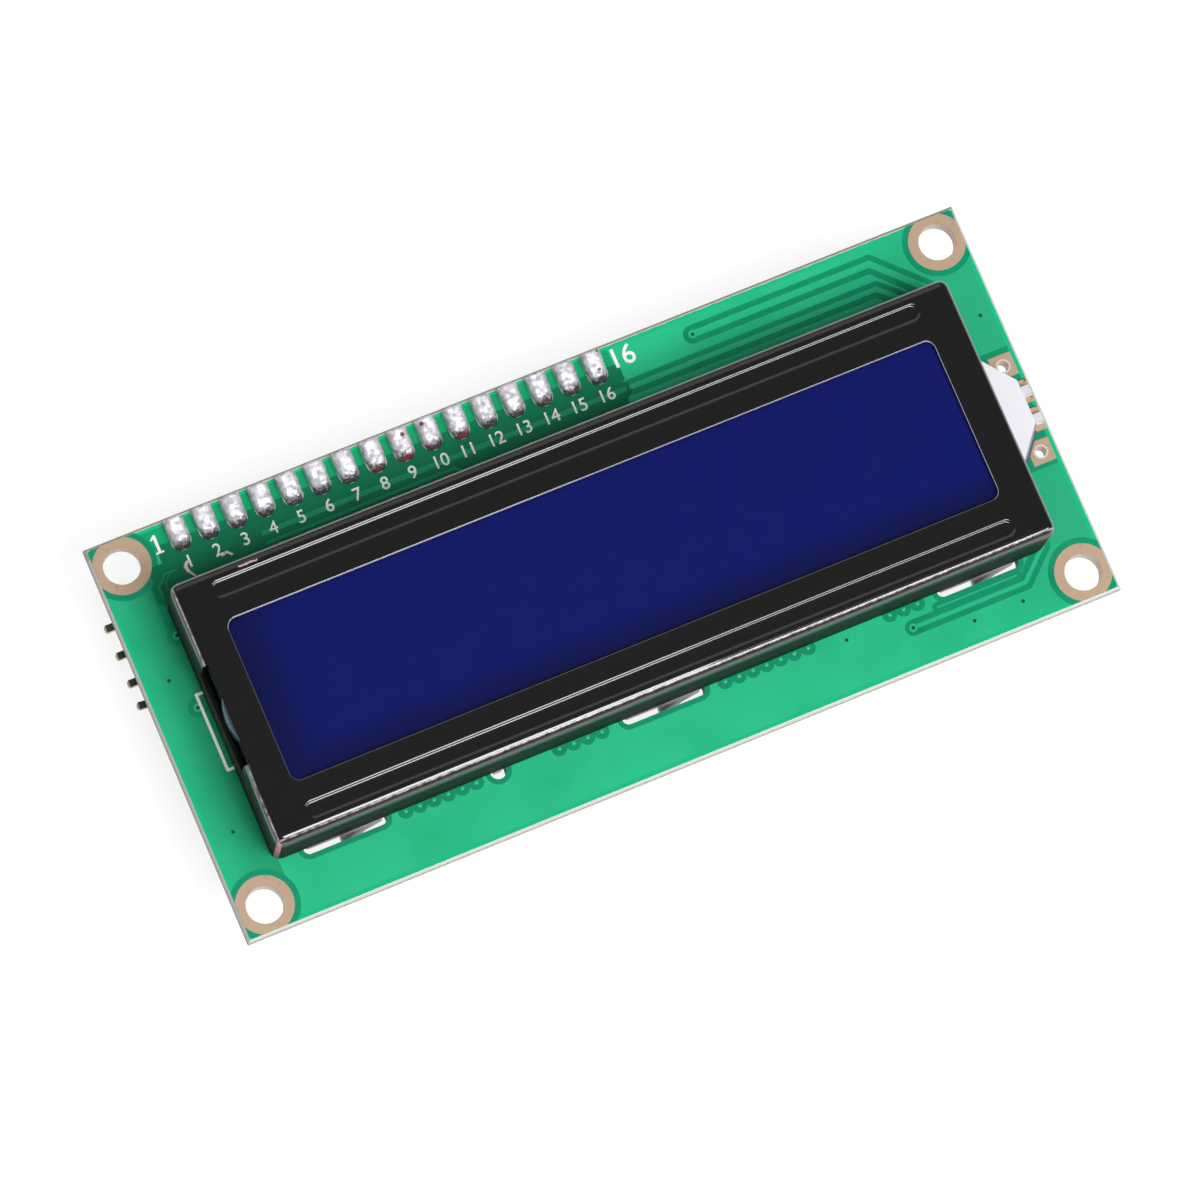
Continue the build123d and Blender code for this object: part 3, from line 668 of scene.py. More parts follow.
@dataclass(frozen=True)
class Plating:
    """Bare hot-dipped pads, with painted light round the lamp holes and down inside the bores."""

    name: str = "bare_plating"
    face: Colour = (190, 163, 135)
    stain: Colour = (158, 132, 106)
    bore: Colour = (232, 216, 205)
    lamp_hole: Triple = (38.38, -0.6, 4.0)
    rim: float = 0.64
    bore_levels: Spot = (-1.56, -0.04)

    def material(self) -> bpy.types.Material:
        """Material of the bare plating.

        Returns:
            The material.
        """
        shader = Shader(self.name)
        stain = shader.patches(size=0.8, low=0.58, high=0.8, detail=4.0)
        # Painted light: the bores and the rims of the lamp holes are brightened as if lit.
        x, y, spread = self.lamp_hole
        across = shader.x - x
        along = abs(shader.y - y) - spread
        rim = (across * across + along * along).under(self.rim**2)
        low, high = self.bore_levels
        bore = shader.z.under(high) * shader.z.over(low)
        colour = shader.mix(stain, self.face, self.stain)
        return shader.surface_of(
            Base_Color=shader.mix(bore.most(0.75 * rim), colour, self.bore),
            Roughness=0.5 + shader.sway(size=0.5, reach=0.15),
            Metallic=0.25,
            Normal=shader.dimples(size=0.12, depth=0.006, detail=3.0),
        )


@dataclass(frozen=True)
class Elastomer:
    """Contact rubber of thin light and dark layers."""

    name: str = "elastomer"
    light: Colour = (196, 150, 158)
    dark: Colour = (52, 44, 48)
    layer: float = 0.18

    def material(self) -> bpy.types.Material:
        """Material of the layered strips.

        Returns:
            The material.
        """
        shader = Shader(self.name)
        wave = shader.math("SINE", shader.x * (math.tau / self.layer))
        return shader.surface_of(
            Base_Color=shader.mix(wave.ramp(-0.3, 0.3), self.light, self.dark),
            Roughness=0.7 + 0.1 * shader.noise(size=0.5),
            Normal=shader.dimples(size=0.1, depth=0.004),
        )


FILM_FINISHES = [
    Finish(name, colour, patch_colour, 4.0, roughness=0.3, grain_depth=0.003, gloss=0.25)
    for name, colour, patch_colour in (
        ("mask_over_glass", (3, 150, 108), (2, 136, 96)),
        ("mask_over_track", (40, 192, 136), (34, 182, 128)),
        # row_mask and row_track are darker copies of mask_over_glass and mask_over_track: painted shade
        # on the board between the pin row and the bezel.
        ("row_mask", (2, 124, 84), (2, 112, 76)),
        ("row_track", (26, 158, 108), (20, 148, 100)),
        ("back_track", (42, 178, 122), (34, 166, 112)),
    )
]
FINISHES = [
    *FILM_FINISHES,
    BoardMask(),
    BezelPaint(),
    DisplayFilm(),
    Solder(),
    RowSolder(),
    Plating(),
    Elastomer(),
    Finish("tab_steel", (150, 146, 152), (44, 42, 45), 0.9, 0.45, roughness=0.35, metallic=0.4),
    Finish("hole_shadow", (16, 62, 46), (10, 40, 30), 0.2, roughness=0.5, gloss=0.2),
    Finish("pin_plating", (150, 148, 132), (112, 108, 90), 0.7, 0.3, roughness=0.28, metallic=1.0),
    Finish("header_plastic", (30, 30, 32), (38, 38, 40), 1.0, roughness=0.5),
    Finish("silk_ink", (255, 255, 255), (232, 240, 236), 0.35, 0.3, roughness=0.6, grain_size=0.06),
    Finish(
        "cell_glass",
        (196, 218, 220),
        (180, 206, 208),
        3.0,
        roughness=0.05,
        roughness_spread=0.03,
        clear=0.8,
    ),
    Finish("port_resin", (120, 160, 178), (88, 128, 150), 1.2, roughness=0.2, clear=0.3),
    Finish("rear_film", (52, 58, 82), (60, 66, 92), 5.0, roughness=0.35),
    Finish("white_film", (240, 239, 247), (230, 230, 242), 2.5, roughness=0.42, grain_depth=0.002),
    Finish("guide_acrylic", (200, 214, 222), (188, 204, 214), 4.0, roughness=0.12, clear=0.5),
    Finish("diode_lens", (236, 234, 242), (226, 214, 190), 0.5, 0.5, roughness=0.15, clear=0.1),
    Finish("gold_terminal", (212, 178, 142), (112, 72, 46), 0.45, 0.5, roughness=0.35, metallic=0.3),
    Finish(
        "chip_resin",
        (20, 20, 22),
        (27, 27, 30),
        2.5,
        roughness=0.16,
        grain_size=0.8,
        grain_depth=0.02,
    ),
    Finish("resistor_body", (24, 24, 26), (34, 34, 38), 0.5, roughness=0.25),
    Finish("adapter_mask", (18, 62, 150), (14, 52, 132), 6.0, roughness=0.28, grain_depth=0.004),
    Finish("adapter_track", (30, 84, 178), (24, 74, 162), 6.0, roughness=0.28, grain_depth=0.004),
    Finish("trimmer_plastic", (22, 80, 178), (18, 66, 156), 2.0, roughness=0.42),
    Finish("rotor_plastic", (222, 222, 214), (204, 202, 192), 1.0, roughness=0.5),
    Finish(
        "chip_plastic",
        (32, 32, 34),
        (42, 42, 44),
        1.5,
        roughness=0.6,
        grain_size=0.08,
        grain_depth=0.01,
    ),
    Finish("capacitor_body", (176, 140, 102), (158, 122, 86), 0.8, roughness=0.6),
    Finish("splashed_solder", (250, 240, 243), (186, 158, 162), 0.3, 0.3, roughness=0.35, metallic=0.2),
    Finish("slate_film", (84, 88, 104), (104, 108, 124), 0.6, roughness=0.4),
]


class Palette:
    """Materials by the names of their finishes."""

    def __init__(self, finishes: Iterable) -> None:
        """Builds the material of every finish."""
        self.materials = {finish.name: finish.material() for finish in finishes}

    def dress(self, node: str, finish: str) -> None:
        """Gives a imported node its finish.

        Args:
            node: The node's name.
            finish: The finish's name.
        """
        slots = frame["nodes"][node].data.materials
        slots.clear()
        slots.append(self.materials[finish])
        LOG.info("%s dressed in %s", node, finish)


class Shape:
    """A mesh in the making, in millimetres, shaped by mesh operators."""

    MERGE = 0.0005
    FIGURE_MERGE = 0.0001
    FIGURE_SCALE = 1.43
    FIGURE_WEIGHT = 0.012

    def __init__(self) -> None:
        """Starts an empty mesh."""
        self.bm = bmesh.new()

    @classmethod
    def copy_of(cls, node: str) -> Shape:
        """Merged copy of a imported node.

        Args:
            node: The node's name.

        Returns:
            A shape in millimetres.
        """
        shape = cls()
        shape.bm.from_mesh(frame["nodes"][node].data)
        bmesh.ops.scale(shape.bm, vec=(METRE,) * 3, verts=shape.bm.verts)
        bmesh.ops.remove_doubles(shape.bm, verts=shape.bm.verts, dist=cls.MERGE)
        return shape

    def loop(
        self,
        centre: Spot,
        radius: float,
        level: float,
        run: Spot = (0, 0),
        segments: int = 24,
    ) -> list:
        """Adds a circle, or a long slot's outline where a run is given.

        Args:
            centre: Middle of the outline.
            radius: Radius of its round ends.
            level: Height of the outline.
            run: Vector from the middle to the centre of one round end.
            segments: Edges of the full circle, a multiple of four.

        Returns:
            The edges of the outline.
        """
        verts = bmesh.ops.create_circle(self.bm, radius=radius, segments=segments)["verts"]
        half_step = math.pi / segments
        angle = math.atan2(run[1], run[0]) + half_step
        turn = Matrix.Rotation(angle, 3, "Z") * (1 / math.cos(half_step))
        along = Vector((run[0], run[1], 0))
        for vert in verts:
            offset = turn @ vert.co
            reach = along if offset.dot(along) > 0 else -along
            vert.co = Vector((centre[0], centre[1], level)) + offset + reach
        return list({edge for vert in verts for edge in vert.link_edges})

    def bridge(self, first: list, second: list) -> None:
        """Joins two outlines with a band of faces."""
        bmesh.ops.bridge_loops(self.bm, edges=first + second)

    def cap(self, edges: list) -> None:
        """Closes an outline with one face."""
        bmesh.ops.edgeloop_fill(self.bm, edges=edges)

    def stack(
        self,
        centre: Spot,
        stages: Sequence[Spot],
        run: Spot = (0, 0),
        segments: int = 24,
    ) -> None:
        """Adds a closed round or long form.

        Args:
            centre: Middle of the form.
            stages: Radius and level of each outline in turn.
            run: Vector from the middle to the centre of one round end.
            segments: Edges of a full circle, a multiple of four.
        """
        loops = [self.loop(centre, radius, level, run, segments) for radius, level in stages]
        for first, second in zip(loops, loops[1:]):
            self.bridge(first, second)
        self.cap(loops[0])
        self.cap(loops[-1])

    def ring(
        self,
        centre: Spot,
        radii: Spot,
        high: float,
        run: Spot = (0, 0),
        segments: int = 32,
    ) -> None:
        """Adds a flat ring, round or long, that stands on the board's face.

        Args:
            centre: Middle of the ring.
            radii: Its outer and inner radius.
            high: Level of its face.
            run: Vector from the middle to the centre of one round end.
            segments: Edges of a full circle, a multiple of four.
        """
        outer, inner = (self.loop(centre, radius, 0.0, run, segments) for radius in radii)
        faces = bmesh.ops.bridge_loops(self.bm, edges=outer + inner)["faces"]
        raised = bmesh.ops.extrude_face_region(self.bm, geom=faces)["geom"]
        verts = [item for item in raised if isinstance(item, bmesh.types.BMVert)]
        bmesh.ops.translate(self.bm, vec=(0, 0, high), verts=verts)

    def strip(
        self,
        start: Spot,
        end: Spot,
        width: float,
        low: float,
        high: float,
        segments: int = 12,
    ) -> None:
        """Adds a flat strip with round ends.

        Args:
            start: Centre of one round end.
            end: Centre of the other.
            width: Width of the strip.
            low: Level of its underside.
            high: Level of its face.
            segments: Edges of both round ends together, a multiple of four.
        """
        centre = ((start[0] + end[0]) / 2, (start[1] + end[1]) / 2)
        run = ((end[0] - start[0]) / 2, (end[1] - start[1]) / 2)
        self.stack(centre, ((width / 2, low), (width / 2, high)), run, segments)

    def block(self, low: Triple, high: Triple) -> None:
        """Adds a block between two corners.

        Args:
            low: Its lowest corner.
            high: Its highest corner.
        """
        verts = bmesh.ops.create_cube(self.bm, size=1.0)["verts"]
        bmesh.ops.scale(self.bm, vec=Vector(high) - Vector(low), verts=verts)
        bmesh.ops.translate(self.bm, vec=(Vector(high) + Vector(low)) / 2, verts=verts)

    def bevel(
        self,
        geometry: list,
        offset: float,
        segments: int,
        rounded: Rounded = Rounded.EDGES,
    ) -> None:
        """Rounds edges or corners.

        Args:
            geometry: The edges or the corners.
            offset: Size of the rounding.
            segments: Steps of the rounding.
            rounded: What the geometry holds.
        """
        bmesh.ops.bevel(
            self.bm,
            geom=geometry,
            offset=offset,
            offset_type="OFFSET",
            segments=segments,
            profile=0.5,
            affect=rounded.value,
            material=-1,
            clamp_overlap=True,
        )

    def figures(self, text: str, centre: Spot, height: float, low: float, high: float) -> None:
        """Adds flat figures, centred on a point.

        Args:
            text: The figures.
            centre: Middle of the text.
            height: Height of a figure.
            low: Level of the underside.
            high: Level of the face.
        """
        curve = bpy.data.curves.new("figures", "FONT")
        curve.body = text
        curve.size = height * self.FIGURE_SCALE
        curve.offset = height * self.FIGURE_WEIGHT
        curve.extrude = (high - low) / 2
        curve.align_x = "CENTER"
        carrier = bpy.data.objects.new("figures", curve)
        mesh = bpy.data.meshes.new_from_object(carrier)
        place = Vector((centre[0], centre[1] - height / 2, (low + high) / 2))
        figures = bmesh.new()
        figures.from_mesh(mesh)
        bmesh.ops.remove_doubles(figures, verts=figures.verts, dist=self.FIGURE_MERGE)
        bmesh.ops.translate(figures, vec=place, verts=figures.verts)
        figures.to_mesh(mesh)
        figures.free()
        self.bm.from_mesh(mesh)
        bpy.data.objects.remove(carrier)

    def trim(self, point: Triple, outward: Triple) -> None:
        """Cuts away what lies beyond a plane and closes the cut.

        Args:
            point: A point of the plane.
            outward: The plane's normal, which points at what goes.
        """
        parts = list(self.bm.verts) + list(self.bm.edges) + list(self.bm.faces)
        bmesh.ops.bisect_plane(self.bm, geom=parts, plane_co=point, plane_no=outward, clear_outer=True)
        open_edges = [edge for edge in self.bm.edges if edge.is_boundary]
        bmesh.ops.holes_fill(self.bm, edges=open_edges)

    def turn_over(self, level: float) -> None:
        """Turns the shape about the Y axis, onto a face at a level that looks down."""
        bmesh.ops.scale(self.bm, vec=(-1, 1, -1), verts=self.bm.verts)
        bmesh.ops.translate(self.bm, vec=(0, 0, level), verts=self.bm.verts)

    def rectangle(self, low: Spot, high: Spot, width: float, top: float, step: float = 0.0004) -> None:
        """Adds a printed rectangle of four strips that stand on the board's face.

        Args:
            low: Its lowest corner.
            high: Its highest corner.
            width: Width of the strips.
            top: Level of the first strip's face.
            step: How much higher each further strip is.
        """
        corners = (low, (high[0], low[1]), high, (low[0], high[1]))
        for index, (start, end) in enumerate(zip(corners, corners[1:] + corners[:1])):
            self.strip(start, end, width, 0, top + step * index)

    def hand_over(self, name: str, crease: float = 40.0) -> bpy.types.Object:
        """Turns the shape into an object of the scene, in metres.

        Args:
            name: The piece's name.
            crease: Angle in degrees above which an edge stays sharp.

        Returns:
            The new object, at the origin.
        """
        bmesh.ops.recalc_face_normals(self.bm, faces=self.bm.faces)
        bmesh.ops.scale(self.bm, vec=(1 / METRE,) * 3, verts=self.bm.verts)
        mesh = bpy.data.meshes.new(name)
        self.bm.to_mesh(mesh)
        self.bm.free()
        mesh.polygons.foreach_set("use_smooth", [True] * len(mesh.polygons))
        mesh.set_sharp_from_angle(angle=math.radians(crease))
        piece = bpy.data.objects.new(name, mesh)
        bpy.context.scene.collection.objects.link(piece)
        return piece


@dataclass
class Workshop:
    """Hands shapes over as finished pieces."""

    palette: Palette

    def piece(
        self,
        shape: Shape,
        name: str,
        finish: str,
        slot: str,
        replaced: Sequence[str] = (),
        body: Body = Body.MODULE,
        crease: float = 40.0,
    ) -> bpy.types.Object:
        """Finishes a piece: its material, its body and the nodes that it stands for.

        Args:
            shape: The shape in millimetres.
            name: The piece's name.
            finish: Name of its finish.
            slot: Material slot of the record; not used.
            replaced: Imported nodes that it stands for.
            body: Body that it rides on.
            crease: Angle in degrees above which an edge stays sharp.

        Returns:
            The finished object.
        """
        made = shape.hand_over(name, crease)
        made.data.materials.append(self.palette.materials[finish])
        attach(made, body.value)
        if replaced:
            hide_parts(*replaced)
        LOG.info("%s made with %d faces", name, len(made.data.polygons))
        return made


@dataclass(frozen=True)
class Track:
    """Copper track as a broken line, with the etched strip round it."""

    points: Line
    width: float
    clearance: float


@dataclass
class Artwork:
    """Films on one face of a board, each a hair above the last, so that no two faces coincide."""

    workshop: Workshop
    row: PinRow = PinRow()
    layer_step: float = 0.0003
    layers: int = 0

    def level(self, base: float) -> float:
        """Next level of a film, a hair above the last."""
        self.layers += 1
        return base + self.layer_step * self.layers

    def lines(self, shape: Shape, points: Line, width: float, base: float) -> None:
        """Adds a broken line of flat strips.

        Args:
            shape: The shape that takes them.
            points: Ends and corners of the line.
            width: Width of the strips.
            base: Level of their film.
        """
        for start, end in zip(points, points[1:]):
            shape.strip(start, end, width, 0, self.level(base))

    def vias(self, shape: Shape, places: Line, radii: Spot, base: float) -> None:
        """Adds the rings of drilled holes.

        Args:
            shape: The shape that takes them.
            places: Middles of the holes.
            radii: Outer and inner radius of a ring.
            base: Level of their film.
        """
        for place in places:
            shape.ring(place, radii, self.level(base), segments=16)


@dataclass
class FrontArtwork(Artwork):
    """Mask, copper and ink on the front of the board, with plain pin numbers."""

    face_x: float = 39.74
    face_y: float = 17.74
    film: float = 0.008
    copper: float = 0.03
    ink: float = 0.065
    ink_step: float = 0.001
    mount: Spot = (37.5, 15.5)
    mount_radii: Spot = (3.0, 2.4)
    slots_x: Triple = (-29.0, 0.0, 29.0)
    slot_y: float = -12.45
    slot_run: float = 3.2
    slot_radii: Spot = (1.0, 0.55)
    peg_place: Spot = (-15.1, -12.45)
    peg_radii: Spot = (1.15, 0.72)
    scallop_y: float = -12.65
    scallop_radii: Spot = (0.19, 0.12)
    scallop_rise: float = 0.04
    scallop_clearance: float = 0.66
    scallops: tuple[tuple[float, int, float], ...] = (
        (-23.59, 6, 1.28),
        (-9.62, 4, 1.29),
        (5.57, 7, 1.27),
        (20.75, 3, 1.28),
    )
    tented: Line = (
        (-37.61, 4.98),
        (-37.58, -8.84),
        (16.5, -13.3),
        (38.38, 8.22),
        (31.75, -15.87),
        (27.25, -15.87),
    )
    tent_radii: Spot = (0.14, 0.08)
    tent_dip: float = 0.008
    ringed: Line = ((-35.5, 8.3), (-36.24, 1.97))
    ringed_clearance: float = 0.85
    end_vias: Line = ((14.88, 15.9), (22.15, -14.45))
    via_radii: Spot = (0.38, 0.15)
    open_fields: tuple[Line, ...] = (
        ((35.0, -6.0), (37.4, 4.95)),
        ((37.35, -3.6), (39.4, 2.45)),
        ((37.35, 4.4), (39.4, 4.95)),
        ((37.35, -6.0), (39.4, -5.6)),
        ((-36.1, 8.3), (-35.0, 13.0)),
    )
    row_fields: tuple[Line, ...] = (
        ((-34.3, 14.4), (8.0, 15.95)),
        ((-35.6, 12.2), (7.6, 14.45)),
    )
    open_tracks: tuple[Track, ...] = (
        Track(((14.88, 15.9), (31.3, 15.9), (35.2, 12.0)), 0.6, 1.6),
        Track(((22.15, -14.45), (32.6, -14.45), (35.2, -12.1)), 0.36, 1.36),
        Track(((8.3, 13.65), (31.0, 13.65), (33.2, 11.6)), 0.46, 1.4),
        Track(((24.8, -13.62), (32.1, -13.62)), 0.14, 0.9),
    )
    row_tracks: tuple[Track, ...] = (
        Track(((-25.4, 13.65), (7.6, 13.65)), 0.46, 1.4),
        Track(((-25.4, 12.75), (-8.4, 12.75), (-7.0, 11.5)), 0.3, 0.9),
        Track(((-35.35, 11.6), (-35.35, 12.6), (-34.5, 13.5), (-33.4, 13.5)), 0.16, 1.2),
        Track(((-34.7, 12.1), (-34.7, 12.75), (-34.1, 13.35)), 0.12, 0.8),
    )
    label_y: float = 13.8
    label_height: float = 1.1
    first_number: tuple[Spot, float] = ((-34.1, 16.12), 1.6)
    first_foot: Line = ((-34.4, 15.36), (-33.8, 15.36))
    first_flag: Line = ((-34.42, 16.6), (-34.12, 16.88))
    serif: float = 0.16
    last_number: tuple[Spot, float] = ((8.5, 16.45), 1.7)
    bracket: Line = ((-35.4, 3.0), (-35.97, 3.0), (-35.97, -3.87), (-35.4, -3.87))
    bracket_width: float = 0.25

    def scallop_places(self) -> list[Spot]:
        """Centres of the vias that line the bezel's lower wall.

        Returns:
            Their places, group by group.
        """
        return [
            (start + index * step, self.scallop_y)
            for start, count, step in self.scallops
            for index in range(count)
        ]

    def trimmed(self, shape: Shape) -> Shape:
        """Cuts a film at the flat face of the board.

        Args:
            shape: The film.

        Returns:
            The film itself.
        """
        for sign in (-1, 1):
            shape.trim((sign * self.face_x, 0, 0), (sign, 0, 0))
            shape.trim((0, sign * self.face_y, 0), (0, sign, 0))
        return shape

    def etch(self, shape: Shape, tracks: Iterable[Track], fields: Iterable[Line]) -> None:
        """Adds bare fibreglass, where the copper is etched away.

        Args:
            shape: The shape that takes it.
            tracks: Tracks with a bare strip round them.
            fields: Lowest and highest corner of each bare field.
        """
        for track in tracks:
            self.lines(shape, track.points, track.clearance, self.film)
        for low, high in fields:
            shape.block((*low, 0), (*high, self.level(self.film)))

    def clearances(self) -> None:
        """Mask over bare fibreglass, on the open board and between the pin row and the bezel."""
        shape = Shape()
        for side_x in (-1, 1):
            for side_y in (-1, 1):
                centre = (side_x * self.mount[0], side_y * self.mount[1])
                shape.ring(centre, self.mount_radii, self.level(self.film), segments=48)
        for x in self.slots_x:
            shape.ring((x, self.slot_y), self.slot_radii, self.level(self.film), (self.slot_run, 0))
        shape.ring(self.peg_place, self.peg_radii, self.level(self.film))
        rounds = [(place, self.scallop_clearance) for place in self.scallop_places()]
        for place, radius in rounds + [(place, self.ringed_clearance) for place in self.ringed]:
            shape.stack(place, ((radius, 0), (radius, self.level(self.film))))
        self.etch(shape, self.open_tracks, self.open_fields)
        self.workshop.piece(self.trimmed(shape), "mask_clearances", "mask_over_glass", "board_mask")
        row = Shape()
        self.etch(row, self.row_tracks, self.row_fields)
        # The row's bare-fibreglass film takes the darker row_mask, as painted shade.
        self.workshop.piece(row, "row_clearances", "row_mask", "board_mask")

    def copper_lines(self) -> None:
        """Tracks and via rings under the mask."""
        shape, row = Shape(), Shape()
        for target, tracks in ((shape, self.open_tracks), (row, self.row_tracks)):
            for track in tracks:
                self.lines(target, track.points, track.width, self.copper)
        # The row's tracks take the darker row_track, as painted shade.
        self.workshop.piece(row, "row_tracks", "row_track", "board_mask")
        wide, narrow = self.scallop_radii
        for place in self.scallop_places():
            top = self.level(self.copper)
            stages = ((wide, 0), (wide, top), (narrow, top + self.scallop_rise))
            shape.stack(place, stages, segments=16)
        self.vias(shape, self.ringed + self.end_vias, self.via_radii, self.copper)
        self.workshop.piece(self.trimmed(shape), "copper_tracks", "mask_over_track", "board_mask")

    def tented_holes(self) -> None:
        """Dimples of mask over small drilled holes."""
        shape = Shape()
        wide, narrow = self.tent_radii
        for place in self.tented + self.ringed + self.end_vias:
            stages = ((wide, 0), (wide, self.ink), (narrow, self.ink - self.tent_dip))
            shape.stack(place, stages, segments=12)
        self.workshop.piece(shape, "tented_holes", "hole_shadow", "board_mask")

    def ink_marks(self) -> None:
        """Pin numbers, and the frame printed beside the fill port."""
        shape = Shape()
        for index, x in enumerate(self.row.places()):
            shape.figures(str(index + 1), (x, self.label_y), self.label_height, 0, self.ink)
        shape.figures("1", *self.first_number, 0, self.ink)
        shape.strip(*self.first_foot, self.serif, 0, self.ink + self.ink_step)
        shape.strip(*self.first_flag, self.serif, 0, self.ink + 2 * self.ink_step)
        shape.figures(str(self.row.count), *self.last_number, 0, self.ink)
        self.lines(shape, self.bracket, self.bracket_width, self.ink)
        self.workshop.piece(shape, "ink_marks", "silk_ink", "board_mask")

    def build(self) -> None:
        """Makes all pieces of the artwork."""
        self.clearances()
        self.copper_lines()
        self.tented_holes()
        self.ink_marks()


@dataclass
class BackArtwork(Artwork):
    """Tracks and print on the back of the module board; places are as seen from behind."""

    face: float = -1.6
    track: float = 0.012
    ink: float = 0.04
    ink_step: float = 0.002
    caps: tuple[tuple[Spot, float], ...] = (((13.5, -5.0), 6.5), ((-21.0, -1.5), 6.0))
    cap_rings: Spot = (0.55, 0.35)
    rays: int = 30
    ray_width: float = 0.28
    ray_under: float = 0.2
    ray_start: float = 0.5
    ray_lengths: tuple[float, ...] = (2.4, 3.6, 1.6, 3.0, 2.0)
    runs: tuple[Line, ...] = (
        ((24.0, -14.4), (-17.0, -14.4), (-20.5, -10.9)),
        ((25.0, -15.1), (-16.0, -15.1), (-19.5, -11.6)),
        ((26.0, -15.8), (-15.0, -15.8), (-18.5, -12.3)),
    )
    run_width: float = 0.34
    holes: Line = ((-35.2, 6.0), (-9.0, -14.6), (2.0, -14.9), (27.5, -15.4), (33.5, 3.4), (-3.0, -9.8))
    via_radii: Spot = (0.42, 0.16)
    chip_row: Triple = (-12.4, 10.4, 2.6)
    chip_count: int = 5
    chip_size: Spot = (1.9, 2.7)
    chip_line: float = 0.15
    lamp_chips: Line = ((-34.6, 3.4), (-34.6, -4.6))

    def tracks(self) -> None:
        """Fans of tracks round the two resin caps, and a few long runs."""
        shape = Shape()
        for middle, radius in self.caps:
            for ray in range(self.rays):
                angle = math.tau * ray / self.rays
                way = Vector((math.cos(angle), math.sin(angle)))
                reach = radius + self.ray_start + self.ray_lengths[ray % len(self.ray_lengths)]
                start = Vector(middle) + way * (radius - self.ray_under)
                end = Vector(middle) + way * reach
                shape.strip(tuple(start), tuple(end), self.ray_width, 0, self.level(self.track), 8)
        for points in self.runs:
            self.lines(shape, points, self.run_width, self.track)
        self.vias(shape, self.holes, self.via_radii, self.track)
        shape.turn_over(self.face)
        self.workshop.piece(shape, "back_tracks", "back_track", "board_mask")

    def print_marks(self) -> None:
        """White outlines round the resin caps and the chip parts."""
        shape = Shape()
        outer, inner = self.cap_rings
        for place, radius in self.caps:
            shape.ring(place, (radius + outer, radius + inner), self.ink, segments=64)
        first, y, step = self.chip_row
        places = [(first - i * step, y) for i in range(self.chip_count)] + list(self.lamp_chips)
        wide, high = self.chip_size
        for index, (x, y) in enumerate(places):
            low, top = (x - wide / 2, y - high / 2), (x + wide / 2, y + high / 2)
            shape.rectangle(low, top, self.chip_line, self.ink + self.ink_step * (index + 1))
        shape.turn_over(self.face)
        self.workshop.piece(shape, "back_print", "silk_ink", "board_mask")

    def build(self) -> None:
        """Makes the back's pieces."""
        self.tracks()
        self.print_marks()


